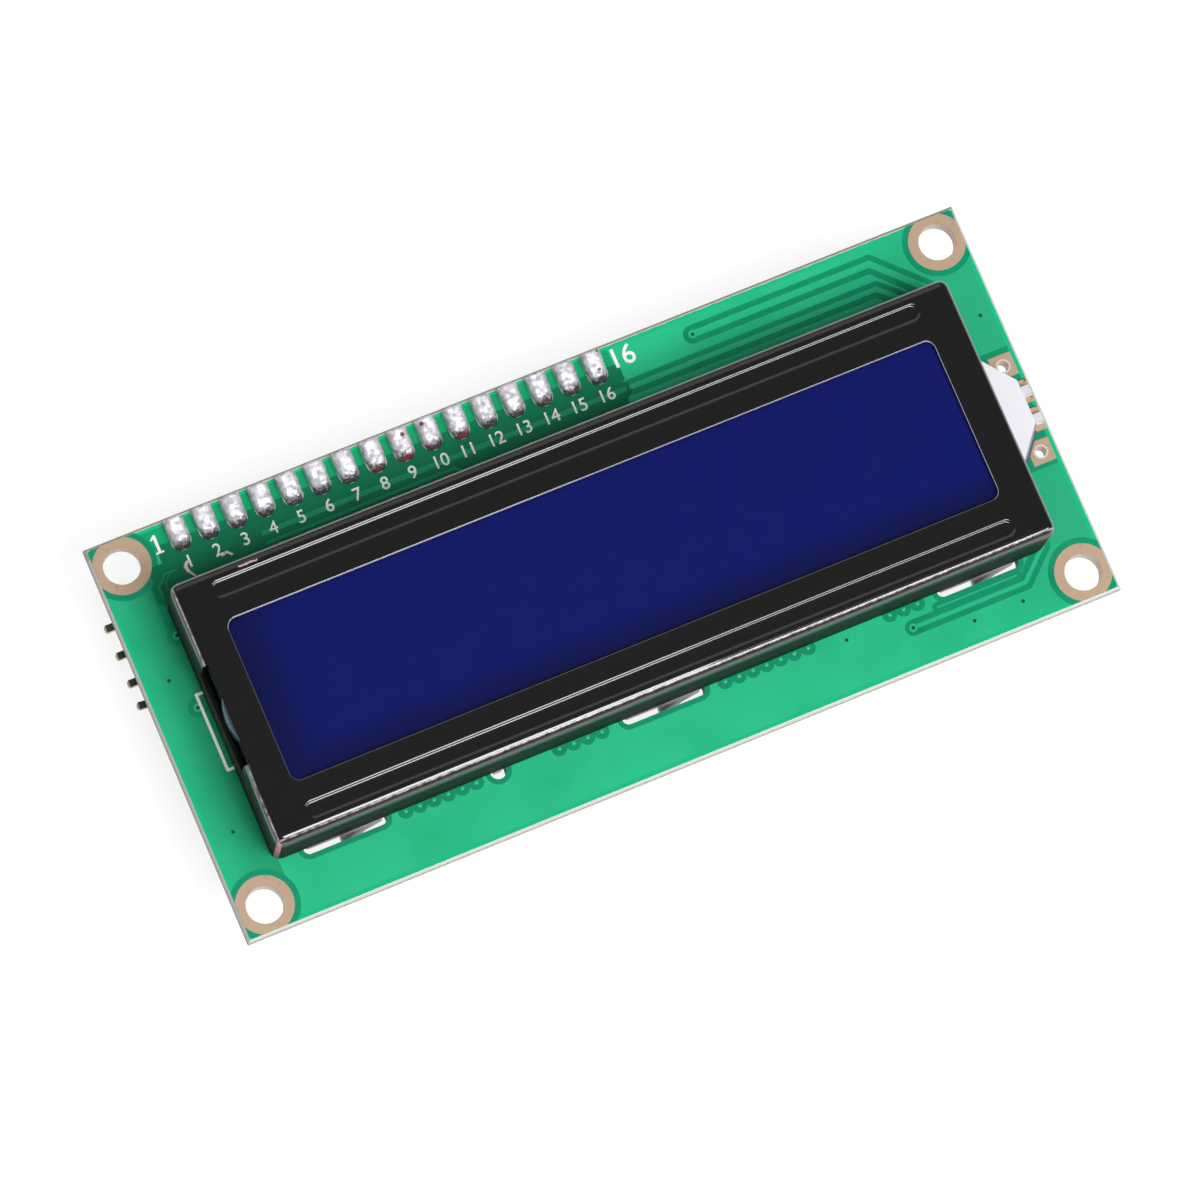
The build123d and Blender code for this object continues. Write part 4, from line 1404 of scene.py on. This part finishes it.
@dataclass
class AdapterArtwork(Artwork):
    """Tracks and print on the adapter's outer face; places are as seen from behind."""

    face: float = -5.74
    track: float = 0.012
    track_width: float = 0.3
    ink: float = 0.045
    ink_step: float = 0.002
    outline: float = 0.16
    chip: Spot = (20.5, 8.0)
    chip_half: Spot = (5.5, 4.05)
    chip_dot: Triple = (6.1, -3.3, 0.28)
    leads: int = 8
    lead_pitch: float = 1.27
    lead_ends: Spot = (5.2, -5.1)
    row_lanes: tuple[int, float, float] = (5, 14.55, 0.22)
    row_skipped: int = 3
    row_foot: float = 0.6
    row_drop: float = 0.3
    bus_lanes: tuple[int, float, float] = (4, 1.9, 0.42)
    bus_turn: Spot = (2.0, 0.5)
    bus_foot: float = 0.4
    pad_lanes: tuple[int, float, float] = (4, 1.9, 0.5)
    pads: Spot = (2.0, 2.0)
    pad_rise: float = 1.6
    trimmer: Spot = (4.5, 8.2)
    trimmer_half: float = 3.8
    bus_x: float = 30.2
    bus_y: float = 8.4
    row_frame: tuple[Spot, Spot] = ((-15.62, 14.3), (0.55, 17.2))
    end_label_y: float = 13.2
    end_label_shifts: Spot = (0.2, 0.3)
    end_label_height: float = 1.2
    bus_label: Triple = (-2.9, 0.9, 1.1)
    single_runs: tuple[Line, ...] = (
        ((4.5, 11.9), (4.5, 13.6), (6.0, 15.1)),
        ((-2.2, 15.1), (-2.2, 13.2), (-4.1, 11.4), (-4.1, 9.9)),
        ((0.5, 15.1), (0.5, 13.6), (-6.4, 13.6), (-6.4, 5.0), (-4.1, 5.0), (-4.1, 6.8)),
    )
    holes: Line = ((10.0, 1.2), (-1.0, 3.2), (13.2, 14.0), (25.6, 1.0), (31.4, 1.6), (-5.2, 2.4))
    via_radii: Spot = (0.42, 0.16)

    def lead_x(self, index: int) -> float:
        """Place along X of a lead of the chip, counted from its first corner."""
        return self.chip[0] + ((self.leads - 1) / 2 - index) * self.lead_pitch

    def pin_x(self, index: float) -> float:
        """Place along X of a pin of the row, as seen from behind."""
        return -self.row.first_x - index * self.row.pitch

    def bus_pin_y(self, index: int) -> float:
        """Place along Y of a pin of the bus."""
        return self.bus_y + ((self.bus_lanes[0] - 1) / 2 - index) * self.row.pitch

    def runs(self) -> list[Line]:
        """Tracks from the chip's leads to the pin row, to the bus and to the address pads.

        Returns:
            The ends and corners of each track.
        """
        upper, lower = (self.chip[1] + end for end in self.lead_ends)
        made = []
        count, first, step = self.row_lanes
        for index in range(count):
            pin = self.pin_x(index + self.row_skipped)
            lead, turn = self.lead_x(index), first - step * index
            foot, drop = self.row.y - self.row_foot, turn - self.row_drop
            made.append(((pin, foot), (pin, turn), (lead, drop), (lead, upper)))
        count, first, step = self.bus_lanes
        for index in range(count):
            lead, y, turn = self.lead_x(index), self.bus_pin_y(index), first - step * index
            lane = self.bus_x - self.bus_turn[0] - self.bus_turn[1] * index
            foot = self.bus_x - self.bus_foot
            made.append(((lead, lower), (lead, turn), (lane, turn), (lane, y), (foot, y)))
        count, first, step = self.pad_lanes
        for index in range(count):
            pad = self.pads[0] - self.pads[1] * index
            lead, turn = self.lead_x(index + self.leads // 2), first - step * index
            made.append(((lead, lower), (lead, turn), (pad, turn), (pad, turn + self.pad_rise)))
        return made

    def tracks(self) -> None:
        """Tracks under the blue mask."""
        shape = Shape()
        for points in (*self.runs(), *self.single_runs):
            self.lines(shape, points, self.track_width, self.track)
        self.vias(shape, self.holes, self.via_radii, self.track)
        shape.turn_over(self.face)
        self.workshop.piece(shape, "adapter_tracks", "adapter_track", "adapter_mask")

    def print_marks(self) -> None:
        """White outlines of the parts, and plain pin numbers."""
        shape = Shape()
        (x, y), (wide, high) = self.chip, self.chip_half
        shape.rectangle((x - wide, y - high), (x + wide, y + high), self.outline, self.ink)
        dot_x, dot_y, dot = self.chip_dot
        shape.stack((x + dot_x, y + dot_y), ((dot, 0), (dot, self.ink)), segments=16)
        (x, y), half = self.trimmer, self.trimmer_half
        top = self.ink + self.ink_step
        shape.rectangle((x - half, y - half), (x + half, y + half), self.outline, top)
        low, high = ((self.pin_x(-steps), level) for steps, level in self.row_frame)
        shape.rectangle(low, high, self.outline, top + self.ink_step)
        for number, shift in zip((1, self.row.count), self.end_label_shifts):
            place = (self.pin_x(number - 1) + shift, self.end_label_y)
            shape.figures(str(number), place, self.end_label_height, 0, self.ink)
        label_x, label_y, height = self.bus_label
        for index in range(self.bus_lanes[0]):
            place = (self.bus_x + label_x, self.bus_pin_y(index) + label_y)
            shape.figures(str(index + 1), place, height, 0, self.ink)
        shape.turn_over(self.face)
        self.workshop.piece(shape, "adapter_print", "silk_ink", "adapter_mask")

    def build(self) -> None:
        """Makes the adapter's tracks and print."""
        self.tracks()
        self.print_marks()


@dataclass
class Backlight:
    """Edge of the grey film that shows beside the light guide's neck."""

    workshop: Workshop
    start: Spot = (36.6, -5.08)
    end: Spot = (38.1, -3.19)
    width: float = 0.28
    low: float = 0.06
    high: float = 2.27

    def build(self) -> None:
        """Makes the film's edge."""
        shape = Shape()
        shape.strip(self.start, self.end, self.width, self.low, self.high)
        self.workshop.piece(shape, "film_edge", "slate_film", "rear_film")


@dataclass
class HeaderJoints:
    """Solder joints of the pin row: lumpy wedges with flux at their feet."""

    workshop: Workshop
    row: PinRow = PinRow()
    foot_level: float = 0.05
    cuts: tuple[int, int] = (22, 36)
    lump: float = 0.05
    lump_size: float = 0.55
    lump_spread: float = 1.4
    lump_offset: Triple = (9.0, 0.0, 0.0)
    fine_lump: Spot = (0.45, 0.5)
    lump_gain: Spot = (0.8, 2.0)
    lump_fade: float = 3.0
    round_powers: Spot = (5.0, 0.42)
    lip_y: float = 15.6
    lip_reach: float = 0.3
    outline: tuple[Triple, ...] = (
        (14.84, 0.3, 0.0),
        (14.92, 0.5, 0.2),
        (15.1, 0.68, 0.45),
        (15.35, 0.76, 0.64),
        (15.65, 0.82, 0.8),
        (16.1, 0.88, 0.9),
        (17.0, 0.92, 1.02),
        (17.5, 0.9, 1.08),
        (17.66, 0.86, 0.9),
        (17.7, 0.84, 0.0),
    )
    splashes: tuple[tuple[Triple, ...], ...] = (
        ((-32.35, 13.75, 0.13), (-32.6, 13.45, 0.2), (-32.5, 12.95, 0.14), (-32.15, 12.4, 0.09)),
        ((-29.35, 13.15, 0.1), (-28.95, 13.3, 0.16), (-28.6, 12.95, 0.12)),
    )
    splash_height: float = 0.2
    splash_step: float = 0.02
    splash_form: Line = ((0.5, 0.0), (0.45, 0.6), (0.2, 1.0))

    def stage_at(self, y: float) -> Spot:
        """Form of a joint at a place along its length.

        Args:
            y: The place along Y.

        Returns:
            Half of the joint's width there, and its height.
        """
        for (low, wide, high), (next_low, next_wide, next_high) in zip(self.outline, self.outline[1:]):
            if y <= next_low:
                share = (y - low) / (next_low - low)
                return (wide + (next_wide - wide) * share, high + (next_high - high) * share)
        return self.outline[-1][1:]

    def joint(self, shape: Shape, middle: float) -> None:
        """Adds one joint, shaped from a flat grid, with an uneven skin.

        Args:
            shape: The shape that takes the joint.
            middle: Place of the joint along X.
        """
        count = len(shape.bm.verts)
        across, along = self.cuts
        (fine_size, fine_share), (steady, lipped) = self.fine_lump, self.lump_gain
        bulge, soften = self.round_powers
        verts = bmesh.ops.create_grid(shape.bm, x_segments=across, y_segments=along, size=1.0)["verts"]
        start, end = self.outline[0][0], self.outline[-1][0]
        for vert in verts:
            side = math.sin(math.pi / 2 * vert.co.x)
            y = start + (end - start) * (0.5 - 0.5 * math.cos(math.pi * (vert.co.y + 1) / 2))
            half, height = self.stage_at(y)
            round_off = max(0.0, 1 - abs(side) ** bulge) ** soften
            spot = Vector((middle + side * half, y, self.foot_level + height * round_off))
            lip = math.exp(-(((y - self.lip_y) / self.lip_reach) ** 2))
            fine_wave = noise.noise(spot / (fine_size * self.lump_size))
            wave = noise.noise(spot / self.lump_size) + fine_share * fine_wave
            gain = (steady + lipped * lip) * round_off * min(1.0, self.lump_fade * height)
            spot.z += self.lump * gain * wave
            sway = noise.noise(spot / self.lump_size + Vector(self.lump_offset))
            spot.x += self.lump * sway * self.lump_spread
            vert.co = spot
        shape.bm.verts.ensure_lookup_table()
        edges = {edge for vert in shape.bm.verts[count:] for edge in vert.link_edges}
        shape.cap([edge for edge in edges if edge.is_boundary])

    def joints(self) -> None:
        """Makes the row of joints."""
        shape = Shape()
        for x in self.row.places():
            self.joint(shape, x)
        replaced = ("header_joints",)
        self.workshop.piece(shape, "solder_joints", "row_solder", "solder", replaced, crease=80)

    def splashed(self) -> None:
        """Strings of solder that splashed on the board below two of the joints."""
        shape = Shape()
        for points in self.splashes:
            for index, (start, end) in enumerate(zip(points, points[1:])):
                (start_x, start_y, start_radius), (end_x, end_y, end_radius) = start, end
                run = ((end_x - start_x) / 2, (end_y - start_y) / 2)
                centre = ((start_x + end_x) / 2, (start_y + end_y) / 2)
                wide = start_radius + end_radius
                top = self.splash_height + self.splash_step * index
                stages = [(spread * wide, rise * top) for spread, rise in self.splash_form]
                shape.stack(centre, stages, run, 12)
        self.workshop.piece(shape, "solder_splashes", "splashed_solder", "solder")

    def build(self) -> None:
        """Makes the joints and the splashes beside them."""
        self.joints()
        self.splashed()


@dataclass
class Bezel:
    """Folded steel bezel: top with window and pressed beads, bends, walls, cut-outs and twisted tabs."""

    workshop: Workshop
    axis_y: float = -0.6
    length: float = 70.8
    width: float = 23.7
    height: float = 7.0
    sheet: float = 0.5
    bend: float = 0.75
    bend_steps: int = 6
    corner_cut: float = 0.8
    corner_steps: int = 3
    window_length: float = 64.2
    window_width: float = 14.6
    window_corner: float = 0.8
    window_steps: int = 6
    window_lip: float = 0.16
    lid_inset: float = 0.05
    bead_lip: float = 0.05
    bead_offset: float = 10.0
    bead_half_run: float = 31.425
    bead_radius: float = 0.82
    bead_floor: float = 0.54
    bead_depth: float = 0.105
    bead_steps: int = 8
    bead_segments: int = 32
    edge_break: float = 0.1
    edge_share: float = 0.3
    tab_gap: float = 0.01
    port_half: float = 4.5
    port_sill: float = 3.9
    port_depth: float = 0.55
    gate_half: float = 6.1
    gate_top: float = 2.61
    gate_depth: float = 1.0
    overshoot: float = 1.0

    def rounded_window(self, shape: Shape, grow: float, level: float) -> list:
        """Adds the window's outline.

        Args:
            shape: The bezel's shape.
            grow: Margin round the window.
            level: Level of the outline.

        Returns:
            The edges of the outline.
        """
        verts = bmesh.ops.create_grid(shape.bm, x_segments=1, y_segments=1, size=0.5)["verts"]
        size = (self.window_length + 2 * grow, self.window_width + 2 * grow, 1)
        bmesh.ops.scale(shape.bm, vec=size, verts=verts)
        bmesh.ops.translate(shape.bm, vec=(0, self.axis_y, level), verts=verts)
        face = verts[0].link_faces[0]
        other_faces = set(shape.bm.faces) - {face}
        other_edges = set(shape.bm.edges) - set(face.edges)
        shape.bevel(verts, self.window_corner + grow, self.window_steps, Rounded.CORNERS)
        edges = [edge for edge in shape.bm.edges if edge not in other_edges]
        faces = [face for face in shape.bm.faces if face not in other_faces]
        bmesh.ops.delete(shape.bm, geom=faces, context="FACES_ONLY")
        return [edge for edge in edges if edge.is_valid]

    def bead(self, shape: Shape, side: int) -> list:
        """Adds one pressed bead.

        Args:
            shape: The bezel's shape.
            side: 1 for the bead above the window and -1 for the one below it.

        Returns:
            The edges of its rim.
        """
        centre = (0, self.axis_y + side * self.bead_offset)
        stages = [(self.bead_radius + self.bead_lip, self.height)]
        for step in range(self.bead_steps + 1):
            share = step / self.bead_steps
            radius = self.bead_radius + (self.bead_floor - self.bead_radius) * share
            stages.append((radius, self.height - self.bead_depth * (1 - math.cos(math.pi * share)) / 2))
        run, segments = (self.bead_half_run, 0), self.bead_segments
        loops = [shape.loop(centre, radius, level, run, segments) for radius, level in stages]
        for first, second in zip(loops, loops[1:]):
            shape.bridge(first, second)
        shape.cap(loops[-1])
        return loops[0]

    def notch(self, shape: Shape, low: Triple, high: Triple) -> None:
        """Cuts a box-shaped opening through the skin, at one end of the bezel.

        Args:
            shape: The bezel's shape.
            low: Lowest corner of the opening.
            high: Its highest corner.
        """
        side = 1 if low[0] > 0 else -1
        wall = self.length / 2 - self.bend
        for axis, bounds in enumerate(zip(low, high)):
            for bound in bounds:
                point, normal = [0.0, 0.0, 0.0], [0.0, 0.0, 0.0]
                point[axis], normal[axis] = bound, 1.0
                near = [f for f in shape.bm.faces if side * f.calc_center_median().x > wall]
                edges = list({e for f in near for e in f.edges})
                verts = list({v for f in near for v in f.verts})
                parts = verts + edges + near
                bmesh.ops.bisect_plane(shape.bm, geom=parts, plane_co=point, plane_no=normal)
        inside = []
        for face in shape.bm.faces:
            middle = face.calc_center_median()
            if all(a < m < b for a, m, b in zip(low, middle, high)):
                inside.append(face)
        bmesh.ops.delete(shape.bm, geom=inside, context="FACES")

    def lid(self, shape: Shape) -> bmesh.types.BMFace:
        """Largest face at the level of the top.

        Args:
            shape: The bezel's shape.

        Returns:
            The face.
        """
        level = max(face.calc_center_median().z for face in shape.bm.faces) - 0.01
        top = [face for face in shape.bm.faces if face.calc_center_median().z > level]
        return max(top, key=lambda face: face.calc_area())

    def folded_box(self) -> Shape:
        """Box without a floor, with cut corners and a bent lid.

        Returns:
            The bezel's shape, before its beads, window and cut-outs.
        """
        shape = Shape()
        half_x, half_y = self.length / 2, self.width / 2
        low = (-half_x, self.axis_y - half_y, 0)
        high = (half_x, self.axis_y + half_y, self.height)
        shape.block(low, high)
        floor = min(shape.bm.faces, key=lambda face: face.calc_center_median().z)
        bmesh.ops.delete(shape.bm, geom=[floor], context="FACES_ONLY")
        upright = [e for e in shape.bm.edges if abs(e.verts[0].co.z - e.verts[1].co.z) > 1]
        shape.bevel(upright, self.corner_cut, self.corner_steps)
        shape.bevel(list(self.lid(shape).edges), self.bend, self.bend_steps)
        return shape

    def skin(self) -> Shape:
        """Outer skin of the folded sheet, with its beads, window and cut-outs.

        Returns:
            The skin, open at its foot, its window and its cut-outs.
        """
        shape = self.folded_box()
        lid = self.lid(shape)
        bmesh.ops.inset_region(shape.bm, faces=[lid], thickness=self.lid_inset, use_even_offset=True)
        lid = self.lid(shape)
        rim = list(lid.edges)
        bmesh.ops.delete(shape.bm, geom=[lid], context="FACES_ONLY")
        for side in (-1, 1):
            rim += self.bead(shape, side)
        stages = (
            (self.window_lip, 0.0),
            (self.edge_break, 0.0),
            (self.edge_share * self.edge_break, self.edge_share * self.edge_break),
            (0.0, self.edge_break),
        )
        outlines = [self.rounded_window(shape, grow, self.height - drop) for grow, drop in stages]
        for first, second in zip(outlines, outlines[1:]):
            shape.bridge(first, second)
        bmesh.ops.triangle_fill(shape.bm, use_beauty=True, edges=rim + outlines[0], normal=(0, 0, 1))
        end, past = self.length / 2, self.overshoot
        port_low = (-end - past, self.axis_y - self.port_half, self.port_sill)
        port_high = (self.port_depth - end, self.axis_y + self.port_half, self.height + past)
        self.notch(shape, port_low, port_high)
        gate_low = (end - self.gate_depth, self.axis_y - self.gate_half, -past)
        gate_high = (end + past, self.axis_y + self.gate_half, self.gate_top)
        self.notch(shape, gate_low, gate_high)
        return shape

    def build(self) -> None:
        """Makes the sheet and its tabs."""
        sheet = self.workshop.piece(
            self.skin(),
            "bezel_sheet",
            "bezel_paint",
            "bezel_paint",
            ("bezel",),
            crease=50,
        )
        solid = sheet.modifiers.new("sheet", "SOLIDIFY")
        solid.thickness = self.sheet / METRE
        solid.offset = -1
        solid.use_even_offset = True
        tabs = Shape.copy_of("bezel")
        tabs.trim((0, 0, -self.tab_gap), (0, 0, 1))
        self.workshop.piece(tabs, "bezel_tabs", "tab_steel", "bezel_paint", ("bezel",))


@dataclass
class Module:
    """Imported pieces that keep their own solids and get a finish."""

    workshop: Workshop
    finishes: dict[str, str] = field(default_factory=dict)

    def build(self) -> None:
        """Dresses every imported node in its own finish, or in that of its slot."""
        for part in frame["record"]["subparts"]:
            node = part["node"]
            self.workshop.palette.dress(node, self.finishes.get(node, part["material_slot"]))


@dataclass(frozen=True)
class Lamp:
    """Soft lamp that looks at the module: angles in degrees, lengths in metres and power in watts."""

    name: str
    azimuth: float
    elevation: float
    distance: float
    width: float
    height: float
    power: float

    def hang(self) -> None:
        """Adds the lamp to the scene."""
        light = bpy.data.lights.new(self.name, "AREA")
        light.shape = "RECTANGLE"
        light.size = self.width
        light.size_y = self.height
        light.energy = self.power
        lamp = bpy.data.objects.new(self.name, light)
        azimuth, elevation = math.radians(self.azimuth), math.radians(self.elevation)
        flat = math.cos(elevation)
        toward = Vector((math.cos(azimuth) * flat, math.sin(azimuth) * flat, math.sin(elevation)))
        lamp.location = toward * self.distance
        lamp.rotation_euler = toward.to_track_quat("Z", "Y").to_euler()
        bpy.context.scene.collection.objects.link(lamp)


@dataclass
class Studio:
    """Floor, lamps, surround and a camera at the photograph's viewpoint."""

    camera_place: Triple = (-102.97, -98.59, 619.54)
    camera_aim: Triple = (-1.455, -2.27, 0.0)
    camera_roll: float = 23.86
    lens: float = 226.8
    sensor: float = 36.0
    near_clip: float = 0.01
    floor_size: float = 4.0
    floor_gap: float = 0.0002
    floor_base: float = 0.3
    floor_glow: Colour = (236, 236, 236)
    surround: float = 0.18
    lamps: tuple[Lamp, ...] = (
        Lamp("key", -60.0, 54.0, 0.6, 0.36, 0.13, 1.85),
        Lamp("fill", 170.0, 14.0, 0.8, 0.14, 0.24, 0.25),
        Lamp("back", 95.0, 42.0, 1.0, 1.2, 0.8, 1.7),
        Lamp("top", -85.0, 72.0, 0.7, 0.2, 0.2, 2.0),
    )

    def floor(self) -> None:
        """Pale floor just under the module, white to the camera where no shadow falls."""
        bm = bmesh.new()
        bmesh.ops.create_grid(bm, x_segments=1, y_segments=1, size=self.floor_size / 2)
        bmesh.ops.translate(bm, vec=(0, 0, cad_low.z - self.floor_gap), verts=bm.verts)
        mesh = bpy.data.meshes.new("floor")
        bm.to_mesh(mesh)
        bm.free()
        plane = bpy.data.objects.new("floor", mesh)
        bpy.context.scene.collection.objects.link(plane)
        shader = Shader("pale_floor")
        rays = shader.node("ShaderNodeLightPath").outputs
        looks = [Wire(shader, rays[f"Is {kind} Ray"]) for kind in ("Camera", "Glossy", "Transmission")]
        seen = looks[0].most(looks[1]).most(looks[2])
        material = shader.surface_of(
            Base_Color=(self.floor_base, self.floor_base, self.floor_base, 1),
            Roughness=0.9,
            Emission_Color=shader.mix(seen, (0, 0, 0), self.floor_glow),
            Emission_Strength=1.0,
        )
        mesh.materials.append(material)

    def world(self) -> None:
        """Grey surround that looks white to the camera and through glass."""
        world = bpy.data.worlds.new("surround")
        world.use_nodes = True
        tree = world.node_tree
        background = tree.nodes["Background"]
        rays = tree.nodes.new("ShaderNodeLightPath").outputs
        mix = tree.nodes.new("ShaderNodeMix")
        mix.data_type = "RGBA"
        mix.inputs[6].default_value = (self.surround, self.surround, self.surround, 1)
        mix.inputs[7].default_value = (1, 1, 1, 1)
        either = tree.nodes.new("ShaderNodeMath")
        either.operation = "MAXIMUM"
        tree.links.new(rays["Is Camera Ray"], either.inputs[0])
        tree.links.new(rays["Is Transmission Ray"], either.inputs[1])
        tree.links.new(either.outputs[0], mix.inputs[0])
        tree.links.new(mix.outputs[2], background.inputs["Color"])
        bpy.context.scene.world = world

    def camera(self) -> None:
        """Camera at the photograph's viewpoint."""
        data = bpy.data.cameras.new("camera")
        data.lens = self.lens
        data.sensor_width = self.sensor
        data.clip_start = self.near_clip
        camera = bpy.data.objects.new("camera", data)
        place = Vector(self.camera_place) / METRE
        aim = Vector(self.camera_aim) / METRE
        look = (aim - place).to_track_quat("-Z", "Y").to_matrix().to_4x4()
        roll = Matrix.Rotation(math.radians(self.camera_roll), 4, "Z")
        camera.matrix_world = Matrix.Translation(place) @ look @ roll
        bpy.context.scene.collection.objects.link(camera)
        bpy.context.scene.camera = camera

    def build(self) -> None:
        """Sets up the whole studio."""
        bpy.context.scene.view_settings.view_transform = "Standard"
        self.floor()
        for lamp in self.lamps:
            lamp.hang()
        self.world()
        self.camera()


def main() -> None:
    """Builds the sub-assemblies in order."""
    logging.basicConfig(level=logging.INFO, format="%(name)s: %(message)s")
    workshop = Workshop(Palette(FINISHES))
    Module(workshop, {"header_pads": "solder"}).build()
    for assembly in (FrontArtwork, BackArtwork, AdapterArtwork, Backlight, HeaderJoints, Bezel):
        assembly(workshop).build()
    Studio().build()


if __name__ == "__main__":
    main()
